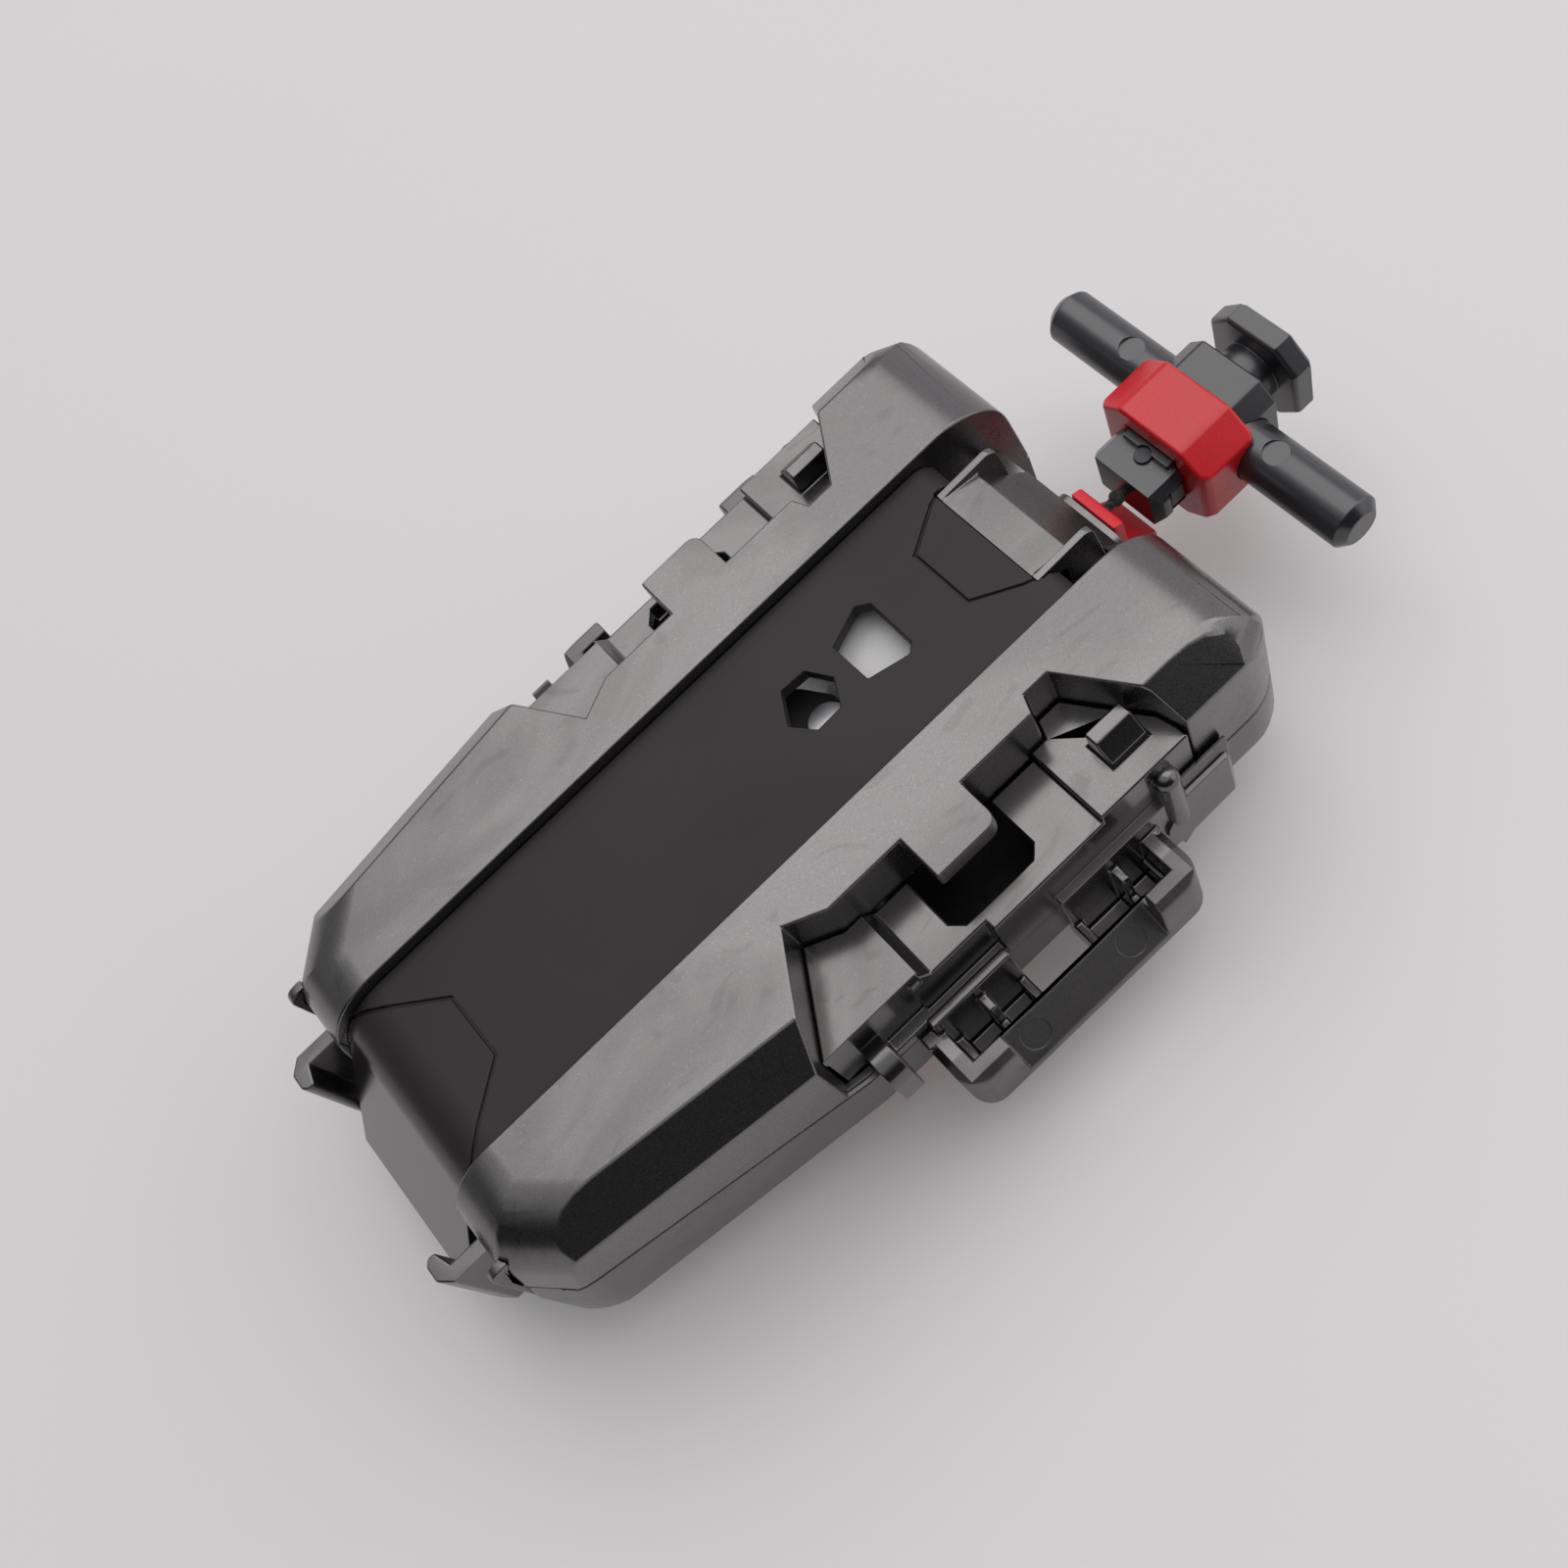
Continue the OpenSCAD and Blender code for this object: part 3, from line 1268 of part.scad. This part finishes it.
module handle_clip() {
    color(gunmetal) box([collar_x - 2.5, -5.4, string_z - 1.6], [collar_x - 0.3, -4.3, string_z + 1.4]);
}

place() upper_shell();
place() lower_shell();
place() centre_panel();
place() far_bridge();
place() string_guide();
place() side_frame_left();
place() side_frame_right();
place() base_ring();
place() gear_plate();
place() spool_shaft();
place() idler_shaft();
place() rotor_bush();
place() case_screws();
place() plate_screws();
place() string_run();
place() string_spool();
place() spool_gear();
place() string_winding();
place() spiral_spring();
place() spring_cover();
place() idler_gear();
place() idler_pinion();
place() rotor_shaft();
place() rotor_pinion();
place() ratchet_wheel();
place() clutch_spring();
place() claw_hub();
place() shaft_clip();
place() handle_core();
place() handle_collar();
place() grip_bar();
place() retaining_pin();
place() handle_clip();
place() string_knot();
place() string_lead();
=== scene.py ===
"""Looks of the spinning top launcher: rounded mouldings, procedural plastics, string, light and camera."""
import json
import math

import bmesh
import bpy
from mathutils import Matrix, Vector

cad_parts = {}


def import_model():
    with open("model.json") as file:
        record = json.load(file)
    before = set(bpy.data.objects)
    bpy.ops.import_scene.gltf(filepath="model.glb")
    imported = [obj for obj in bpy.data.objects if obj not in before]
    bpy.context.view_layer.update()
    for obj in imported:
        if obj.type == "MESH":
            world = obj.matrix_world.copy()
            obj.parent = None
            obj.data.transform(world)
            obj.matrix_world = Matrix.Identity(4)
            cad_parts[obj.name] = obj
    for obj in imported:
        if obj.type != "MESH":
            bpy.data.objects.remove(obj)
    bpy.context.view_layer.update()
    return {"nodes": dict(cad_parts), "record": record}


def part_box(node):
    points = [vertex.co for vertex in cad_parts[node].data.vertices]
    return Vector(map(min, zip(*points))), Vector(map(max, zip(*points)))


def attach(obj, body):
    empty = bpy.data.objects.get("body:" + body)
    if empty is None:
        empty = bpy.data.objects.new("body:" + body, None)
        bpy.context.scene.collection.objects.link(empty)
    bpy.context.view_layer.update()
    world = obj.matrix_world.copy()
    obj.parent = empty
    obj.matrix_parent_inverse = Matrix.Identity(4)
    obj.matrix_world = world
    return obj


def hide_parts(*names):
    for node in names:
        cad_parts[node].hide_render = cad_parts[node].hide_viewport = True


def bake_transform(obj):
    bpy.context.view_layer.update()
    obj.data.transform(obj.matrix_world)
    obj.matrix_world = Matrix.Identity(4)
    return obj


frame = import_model()

MM = 0.001
NODES = frame["nodes"]
BODY_OF = {node: body for body, nodes in frame["record"]["behaviour"]["bodies"].items() for node in nodes}
SLOT_OF = {part["node"]: part["material_slot"] for part in frame["record"]["subparts"]}


# Node trees

# Limits between which a noise's values are drawn out. The values lie round 0.5, so the first two pairs
# take in most of them, and the others only the highest.
FULL = (0.30, 0.70)
MIDDLE = (0.35, 0.65)
STREAKS = (0.60, 0.70)
FLAKES = (0.62, 0.74)
SPECKS = (0.60, 0.75)


class Nodes:
    """Short calls for the nodes of one node tree."""

    def __init__(self, tree):
        self.tree = tree

    def put(self, value, socket):
        """Links a socket's output, or sets a plain value."""
        if isinstance(value, bpy.types.NodeSocket):
            self.tree.links.new(value, socket)
        else:
            socket.default_value = value

    def node(self, kind, **inputs):
        """A new node of this kind, with its inputs put in by name."""
        made = self.tree.nodes.new("ShaderNode" + kind)
        for name, value in inputs.items():
            self.put(value, made.inputs[name.replace("_", " ")])
        return made

    def maths(self, operation, *values):
        """What a Math node makes of these values."""
        made = self.node("Math")
        made.operation = operation
        for value, socket in zip(values, made.inputs):
            self.put(value, socket)
        return made.outputs[0]

    def times(self, a, b):
        return self.maths("MULTIPLY", a, b)

    def band(self, value, limits, to_low, to_high, smooth=False):
        """Value between two limits moved to another range, and kept inside that."""
        made = self.node("MapRange", Value=value, From_Min=limits[0], From_Max=limits[1],
                         To_Min=to_low, To_Max=to_high)
        made.interpolation_type = "SMOOTHSTEP" if smooth else "LINEAR"
        return made.outputs[0]


class Shading(Nodes):
    """The node tree of one material."""

    def __init__(self, name):
        self.material = bpy.data.materials.new(name)
        self.material.use_nodes = True
        super().__init__(self.material.node_tree)
        self.shader = self.tree.nodes["Principled BSDF"]
        self.coordinates = self.node("TexCoord")

    def set(self, **values):
        """Values that are the same all over the surface."""
        for name, value in values.items():
            self.shader.inputs[name.replace("_", " ")].default_value = value

    def place(self, axis):
        """Place of a point along one of the object's axes, in metres."""
        return self.node("SeparateXYZ", Vector=self.coordinates.outputs["Object"]).outputs[axis]

    def noise(self, count, detail=2.0, distortion=0.0, axes=(1, 1, 1), roughness=0.5, coordinate="Object"):
        """Noise from 0 to 1 with this count of features a metre, or across the UV map.

        axes has a factor of the count along each axis.
        """
        mapping = self.node("Mapping", Vector=self.coordinates.outputs[coordinate], Scale=axes)
        made = self.node("TexNoise", Vector=mapping.outputs[0], Scale=count, Detail=detail,
                         Roughness=roughness, Distortion=distortion)
        return made.outputs[0]

    def colour(self, colour, shade):
        """Base colour, brightened or darkened by a value round 1."""
        scaled = self.node("VectorMath")
        scaled.operation = "SCALE"
        scaled.inputs[0].default_value = colour
        self.put(shade, scaled.inputs["Scale"])
        self.put(scaled.outputs[0], self.shader.inputs["Base Color"])

    def roughness(self, value):
        self.put(value, self.shader.inputs["Roughness"])

    def bump(self, height, depth, strength):
        """Relief of this depth in metres where height goes from 0 to 1."""
        previous = self.shader.inputs["Normal"].links
        made = self.node("Bump", Height=height, Distance=depth, Strength=strength)
        if previous:
            self.put(previous[0].from_socket, made.inputs["Normal"])
        self.put(made.outputs[0], self.shader.inputs["Normal"])


# Materials

def metallic_plastic(name, colour, rough, speckle, flow, coat, etched=None):
    """Plastic with metal powder in it: fine sparkle, faint flow marks and a satin skin.

    etched is (limits, factor): between those two distances from the middle plane the mould turns from
    smooth to etched, which multiplies its roughness by that factor.
    """
    look = Shading(name)
    look.set(Metallic=0.94, Coat_Weight=coat, Coat_Roughness=0.16, IOR=1.5)
    grain = look.noise(5200, detail=1.5, roughness=0.7)
    flakes = look.noise(2600, roughness=0.6)
    swirl = look.noise(34, detail=3.5, distortion=2.2, axes=(0.6, 1.3, 1))
    wisps = look.noise(62, detail=2.5, distortion=4.5, axes=(0.7, 1.2, 1))
    flake_gain = 1.6 * speckle
    wisp_loss = 1.3 * flow
    shade = look.times(look.band(grain, FULL, 1 - speckle, 1 + speckle),
                       look.band(flakes, FLAKES, 1, 1 + flake_gain))
    shade = look.times(shade, look.band(swirl, MIDDLE, 1 - flow, 1 + flow, smooth=True))
    shade = look.times(shade, look.band(wisps, STREAKS, 1, 1 - wisp_loss, smooth=True))
    look.colour(colour, shade)
    skin = look.times(look.band(grain, FULL, rough * 0.9, rough * 1.12),
                      look.band(swirl, MIDDLE, 1.06, 0.94))
    if etched:
        limits, factor = etched
        distance = look.maths("ABSOLUTE", look.place("Y"))
        skin = look.times(skin, look.band(distance, limits, 1, factor, smooth=True))
    look.roughness(skin)
    look.bump(grain, depth=0.006 * MM, strength=0.5)
    look.bump(look.noise(420, detail=1), depth=0.012 * MM, strength=0.35)
    return look.material


def matte_plastic(name, colour, rough, grain_depth, sheen=0.0, gloss=0.5, polished=None):
    """Plain plastic with a fine grain and a slightly uneven gloss.

    polished is (limits, factor): between those two places along X the mould turns from polished, which
    multiplies its roughness by that factor, to its usual finish.
    """
    look = Shading(name)
    look.set(IOR=1.49, Specular_IOR_Level=gloss, Sheen_Weight=sheen, Sheen_Roughness=0.4)
    grain = look.noise(7600, roughness=0.65)
    cloud = look.noise(26, detail=3, distortion=0.6)
    look.colour(colour, look.times(look.band(grain, FULL, 0.93, 1.07), look.band(cloud, FULL, 0.94, 1.06)))
    skin = look.times(look.band(cloud, FULL, rough * 1.07, rough * 0.93),
                      look.band(grain, FULL, 0.95, 1.05))
    if polished:
        limits, factor = polished
        skin = look.times(skin, look.band(look.place("X"), limits, factor, 1, smooth=True))
    look.roughness(skin)
    look.bump(grain, grain_depth, strength=0.6)
    return look.material


def gloss_plastic(name, colour, rough, coat, scatter):
    """Bright plastic straight from a polished mould: slight waves, fine dust and soft depth."""
    look = Shading(name)
    look.set(IOR=1.5, Coat_Weight=coat, Coat_Roughness=0.12, Subsurface_Weight=scatter,
             Subsurface_Radius=(1.2 * MM, 0.25 * MM, 0.2 * MM), Subsurface_Scale=1.0)
    cloud = look.noise(90, distortion=0.8)
    dust = look.noise(3100, detail=1)
    look.colour(colour, look.band(cloud, FULL, 0.93, 1.05))
    look.roughness(look.times(look.band(cloud, FULL, rough * 0.88, rough * 1.12),
                              look.band(dust, SPECKS, 1, 1.4)))
    look.bump(look.noise(260, detail=1), depth=0.02 * MM, strength=0.3)
    return look.material


def drawn_metal(name, colour, rough):
    """Drawn or turned metal: fine level lines, which run round an upright shaft."""
    look = Shading(name)
    look.set(Metallic=1.0)
    lines = look.noise(2400, axes=(0.1, 0.1, 1))
    stain = look.noise(300, detail=3)
    look.colour(colour, look.times(look.band(lines, FULL, 0.9, 1.08), look.band(stain, FULL, 0.9, 1.05)))
    look.roughness(look.band(lines, FULL, rough * 0.8, rough * 1.25))
    look.bump(lines, depth=0.004 * MM, strength=0.5)
    return look.material


def cord_fibre(name, colour):
    """Twisted cord: dull fibres that run along each strand."""
    look = Shading(name)
    look.set(Sheen_Weight=0.25, Sheen_Roughness=0.5, IOR=1.4)
    fibres = look.noise(1, detail=3, axes=(6, 90, 1), coordinate="UV")
    look.colour(colour, look.band(fibres, FULL, 0.6, 1.7))
    look.roughness(look.band(fibres, FULL, 0.5, 0.72))
    look.bump(fibres, depth=0.05 * MM, strength=0.8)
    return look.material


# Distances from the middle plane between which the brackets turn from smooth to etched
BRACKET_ETCHING = (36.6 * MM, 37.2 * MM)
# Places along X between which the panel's ramp turns from a polished foot to the usual finish
RAMP_FOOT = (-64 * MM, -56 * MM)

MATERIALS = {
    "shell_pearl": metallic_plastic("pearl_plastic", (0.172, 0.163, 0.163), rough=0.28,
                                    speckle=0.12, flow=0.09, coat=0.04),
    "shell_gunmetal": metallic_plastic("pearl_plastic_dark", (0.160, 0.153, 0.153), rough=0.30,
                                       speckle=0.10, flow=0.09, coat=0.04),
    "frame_gunmetal": metallic_plastic("gunmetal_plastic", (0.150, 0.142, 0.142), rough=0.20,
                                       speckle=0.08, flow=0.12, coat=0.08, etched=(BRACKET_ETCHING, 2.15)),
    "panel_black": matte_plastic("panel_plastic", (0.017, 0.0135, 0.0145), rough=0.58,
                                 grain_depth=0.012 * MM, sheen=0.02, gloss=0.42,
                                 polished=(RAMP_FOOT, 0.25)),
    "handle_grey": matte_plastic("handle_plastic", (0.018, 0.018, 0.021), rough=0.26,
                                 grain_depth=0.008 * MM, gloss=1.0),
    "inner_dark": matte_plastic("inner_dark_plastic", (0.05, 0.05, 0.055), rough=0.45,
                                grain_depth=0.010 * MM),
    "inner_white": matte_plastic("acetal", (0.60, 0.59, 0.58), rough=0.36,
                                 grain_depth=0.004 * MM),
    "red_plastic": gloss_plastic("red_plastic", (0.68, 0.008, 0.017), rough=0.34,
                                 coat=0.0, scatter=0.05),
    "red_gloss": gloss_plastic("red_gloss_plastic", (0.60, 0.008, 0.015), rough=0.27,
                               coat=0.08, scatter=0.08),
    "steel": drawn_metal("drawn_steel", (0.56, 0.56, 0.58), rough=0.28),
    "brass": drawn_metal("turned_brass", (0.72, 0.52, 0.24), rough=0.26),
    "string_black": cord_fibre("black_cord", (0.016, 0.016, 0.018)),
}


# Rounded mouldings

# Vertices closer than this are one, and faces flatter than this are joined
WELD = 0.012 * MM
FLAT = math.radians(0.5)
# Edges whose faces meet at more than this angle are rounded
CREASE = math.radians(24)
# Share that a rounding may take of its own edge's length, and of each edge's that meets it
ROOM_SHARE = 0.4
# An edge with room for less than this share of its rounding is shaded as a sharp one
LEAST_ROUNDING = 0.08
# Radii above this have three faces across the rounding, and others two
WIDE_RADIUS = 0.3 * MM

EDGE_RADII = {
    "upper_shell": 0.32 * MM, "lower_shell": 0.30 * MM, "centre_panel": 0.22 * MM, "far_bridge": 0.25 * MM,
    "string_guide": 0.30 * MM, "side_frame_left": 0.34 * MM, "side_frame_right": 0.34 * MM,
    "base_ring": 0.40 * MM, "claw_hub": 0.30 * MM, "handle_core": 0.35 * MM, "handle_collar": 0.55 * MM,
    "grip_bar": 0.35 * MM, "retaining_pin": 0.20 * MM, "handle_clip": 0.20 * MM, "spring_cover": 0.20 * MM,
    "gear_plate": 0.20 * MM, "idler_shaft": 0.15 * MM, "case_screws": 0.15 * MM,
}


def wide_angle(edge):
    """Whether the two faces of this edge meet at an angle that is rounded."""
    return len(edge.link_faces) == 2 and edge.calc_face_angle(0) > CREASE


def room_for_rounding(edge, radius):
    """Share of the radius that this edge and those that meet it leave room for."""
    lengths = [other.calc_length() for vertex in edge.verts for other in vertex.link_edges]
    return min(1.0, ROOM_SHARE * min(lengths) / radius)


def piece_from(bm, name, slot):
    """A new piece of the scene with this mesh, in the material of this slot."""
    mesh = bpy.data.meshes.new(name)
    bm.to_mesh(mesh)
    bm.free()
    mesh.materials.append(MATERIALS[slot])
    piece = bpy.data.objects.new(name, mesh)
    bpy.context.scene.collection.objects.link(piece)
    return piece


def moulding(node, radius):
    """Replaces a CAD node by a copy with its flat faces joined and its sharp edges rounded."""
    bm = bmesh.new()
    bm.from_mesh(NODES[node].data)
    for layer in list(bm.loops.layers.uv):
        bm.loops.layers.uv.remove(layer)
    bmesh.ops.remove_doubles(bm, verts=bm.verts, dist=WELD)
    bmesh.ops.dissolve_limit(bm, angle_limit=FLAT, verts=bm.verts, edges=bm.edges, delimit=set())
    bmesh.ops.recalc_face_normals(bm, faces=bm.faces)
    weight = bm.edges.layers.float.new("bevel_weight_edge")
    for edge in bm.edges:
        if wide_angle(edge):
            edge[weight] = room_for_rounding(edge, radius)
            edge.smooth = edge[weight] > LEAST_ROUNDING
    for face in bm.faces:
        face.smooth = True
        face.material_index = 0
    piece = piece_from(bm, node + "_moulded", SLOT_OF[node])
    bevel = piece.modifiers.new("rounded_edges", "BEVEL")
    bevel.width = radius
    bevel.segments = 3 if radius > WIDE_RADIUS else 2
    bevel.limit_method = "WEIGHT"
    bevel.use_clamp_overlap = False
    bevel.miter_outer = "MITER_SHARP"
    bevel.loop_slide = True
    normals = piece.modifiers.new("flat_faces", "WEIGHTED_NORMAL")
    normals.keep_sharp = True
    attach(piece, BODY_OF[node])
    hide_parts(node)


for name, radius in EDGE_RADII.items():
    moulding(name, radius)

# Nodes that nothing replaces show as the CAD has them, in the material of their slot
for name, piece in NODES.items():
    piece.data.materials.clear()
    piece.data.materials.append(MATERIALS[SLOT_OF[name]])


# String: three twisted strands from the guide's eye to the handle, and a tight knot before it

def tube(bm, path, radius, sides, uv, closed=False):
    """Adds a round tube along the path, with U along it and V round it."""
    rings = []
    count = len(path)
    angles = [2 * math.pi * k / sides for k in range(sides)]
    for i, point in enumerate(path):
        before = path[(i - 1) % count] if closed or i else point
        after = path[(i + 1) % count] if closed or i < count - 1 else point
        along = (after - before).normalized()
        side = along.cross(Vector((0, 0, 1))).normalized()
        up = side.cross(along)
        rings.append([bm.verts.new(point + radius * (math.cos(angle) * side + math.sin(angle) * up))
                      for angle in angles])
    for i in range(count if closed else count - 1):
        for k in range(sides):
            corners = [rings[i][k], rings[i][(k + 1) % sides],
                       rings[(i + 1) % count][(k + 1) % sides], rings[(i + 1) % count][k]]
            face = bm.faces.new(corners)
            face.smooth = True
            for loop, (u, v) in zip(face.loops, ((i, k), (i, k + 1), (i + 1, k + 1), (i + 1, k))):
                loop[uv].uv = (u / count, v / sides)
    if not closed:
        bm.faces.new(list(reversed(rings[0])))
        bm.faces.new(rings[-1])


def twisted_string():
    """The string between the guide and the knot."""
    strands = 3
    sides = 8
    steps = 64
    # Length over which a strand goes round once
    turn = 3.15 * MM
    # The string's box, from the guide on the housing to the knot at the handle
    low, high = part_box("string_lead")
    middle = (low + high) / 2
    radius = (high.y - low.y) / 2
    lay_radius = 0.47 * radius
    strand_radius = 0.52 * radius
    bm = bmesh.new()
    uv = bm.loops.layers.uv.new("along")
    for strand in range(strands):
        path = []
        for i in range(steps + 1):
            x = low.x + (high.x - low.x) * i / steps
            angle = 2 * math.pi * (strand / strands + (x - low.x) / turn)
            path.append(Vector((x, middle.y + lay_radius * math.cos(angle),
                                middle.z + lay_radius * math.sin(angle))))
        tube(bm, path, strand_radius, sides, uv)
    bmesh.ops.recalc_face_normals(bm, faces=bm.faces)
    piece = piece_from(bm, "string_strands", "string_black")
    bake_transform(piece)
    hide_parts("string_lead")


def string_knot():
    """A trefoil knot, pulled tight, with its three lobes round the string's line."""
    sides = 10
    steps = 72
    lobes = 3
    # Half of a trefoil's length along the string, and its farthest reach from it, at size 1
    half_length = 1.5
    trefoil_reach = 3
    low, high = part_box("string_knot")
    middle = (low + high) / 2
    reach = (high.y - low.y) / 2
    thick = 0.41 * reach
    size = (reach - thick) / trefoil_reach
    bm = bmesh.new()
    uv = bm.loops.layers.uv.new("along")
    path = []
    for i in range(steps):
        angle = 2 * math.pi * i / steps
        path.append(middle + size * Vector((half_length * math.sin(lobes * angle),
                                            math.sin(angle) + 2 * math.sin(2 * angle),
                                            math.cos(angle) - 2 * math.cos(2 * angle))))
    tube(bm, path, thick, sides, uv, closed=True)
    bmesh.ops.recalc_face_normals(bm, faces=bm.faces)
    piece = piece_from(bm, "string_knot_tied", "string_black")
    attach(piece, "handle")
    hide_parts("string_knot")


twisted_string()
string_knot()


# Stage and light

# Half of the floor's width, in metres
FLOOR_HALF = 4.0
FLOOR_COLOUR = (0.640, 0.619, 0.619)
# Own light of the floor in what the camera and reflections see of it, which keeps its shadows pale
FLOOR_GLOW = 0.085
GLOW_COLOUR = (1.0, 0.965, 0.965, 1)
BACKDROP_COLOUR = (0.70, 0.67, 0.655, 1)
SKY_COLOUR = (0.94, 0.96, 1, 1)
WARM_WHITE = (1.0, 0.975, 0.96)
COOL_WHITE = (0.96, 0.98, 1.0)

# Three parts of the sky's light: where a direction's part along this axis goes from the first limit to
# the second, the strength goes from the first value to the second. They add up, and the near right side
# stays dark.
OVERHEAD = ("Z", (0.55, 0.90), 0.01, 0.70)
LEFT_SIDE = ("Y", (-0.1, 0.9), 0.0, 0.32)
FAR_END = ("X", (0.2, 0.95), 0.0, 0.55)


def floor():
    corners = [(FLOOR_HALF * x, FLOOR_HALF * y, 0) for x, y in ((-1, -1), (1, -1), (1, 1), (-1, 1))]
    mesh = bpy.data.meshes.new("floor")
    mesh.from_pydata(corners, [], [(0, 1, 2, 3)])
    piece = bpy.data.objects.new("floor", mesh)
    bpy.context.scene.collection.objects.link(piece)
    look = Shading("floor_paper")
    look.colour(FLOOR_COLOUR, look.band(look.noise(3), FULL, 0.985, 1.015))
    look.set(Roughness=0.85, Emission_Color=GLOW_COLOUR)
    rays = look.node("LightPath").outputs
    seen = look.maths("ADD", rays["Is Camera Ray"], rays["Is Glossy Ray"])
    look.put(look.times(seen, FLOOR_GLOW), look.shader.inputs["Emission Strength"])
    mesh.materials.append(look.material)


def lamp(name, place, width, depth, power, colour):
    """A rectangular lamp that faces the origin, with its sizes in metres and its power in watts."""
    data = bpy.data.lights.new(name, "AREA")
    data.shape = "RECTANGLE"
    data.size = width
    data.size_y = depth
    data.energy = power
    data.color = colour
    made = bpy.data.objects.new(name, data)
    made.location = place
    made.rotation_euler = (-Vector(place)).to_track_quat("-Z", "Y").to_euler()
    bpy.context.scene.collection.objects.link(made)


def world():
    """Soft light from overhead, the left and the far end, with a plain backdrop for the camera."""
    made = bpy.data.worlds.new("studio")
    bpy.context.scene.world = made
    made.use_nodes = True
    made.node_tree.nodes.clear()
    sky = Nodes(made.node_tree)
    direction = sky.node("SeparateXYZ", Vector=sky.node("TexCoord").outputs["Generated"]).outputs
    parts = [sky.band(direction[axis], limits, low, high, smooth=True)
             for axis, limits, low, high in (OVERHEAD, LEFT_SIDE, FAR_END)]
    strength = sky.maths("ADD", parts[0], sky.maths("ADD", parts[1], parts[2]))
    light = sky.node("Background", Color=SKY_COLOUR, Strength=strength)
    backdrop = sky.node("Background", Color=BACKDROP_COLOUR, Strength=1.0)
    mixed = sky.node("MixShader", Fac=sky.node("LightPath").outputs["Is Camera Ray"])
    sky.put(light.outputs[0], mixed.inputs[1])
    sky.put(backdrop.outputs[0], mixed.inputs[2])
    sky.node("OutputWorld", Surface=mixed.outputs[0])


# Camera at the photograph's place, with the directions of the picture's right and top

CAMERA_PLACE = Vector((-11.71, -99.24, 214.48)) * MM
CAMERA_RIGHT = Vector((0.72187, -0.62137, -0.30464))
CAMERA_UP = Vector((0.69140, 0.62874, 0.35589))
# Focal length and sensor width in millimetres, which make 1821 pixels on the 1600 pixel frame
FOCAL_LENGTH = 40.98
SENSOR_WIDTH = 36


def camera():
    """The photograph's view: from above the near right side, with the camera rolled."""
    back = CAMERA_RIGHT.cross(CAMERA_UP).normalized()
    data = bpy.data.cameras.new("camera")
    data.sensor_width = SENSOR_WIDTH
    data.lens = FOCAL_LENGTH
    data.clip_start = 0.01
    data.clip_end = 20
    made = bpy.data.objects.new("camera", data)
    made.matrix_world = Matrix((CAMERA_RIGHT, CAMERA_UP, back)).transposed().to_4x4()
    made.location = CAMERA_PLACE
    bpy.context.scene.collection.objects.link(made)
    bpy.context.scene.camera = made


floor()
world()
lamp("softbox", (0.50, 0.33, 1.25), width=2.2, depth=1.4, power=11.6, colour=WARM_WHITE)
lamp("far_fill", (1.20, -0.55, 0.55), width=1.9, depth=1.1, power=4.6, colour=COOL_WHITE)
camera()
bpy.context.scene.view_settings.view_transform = "Standard"
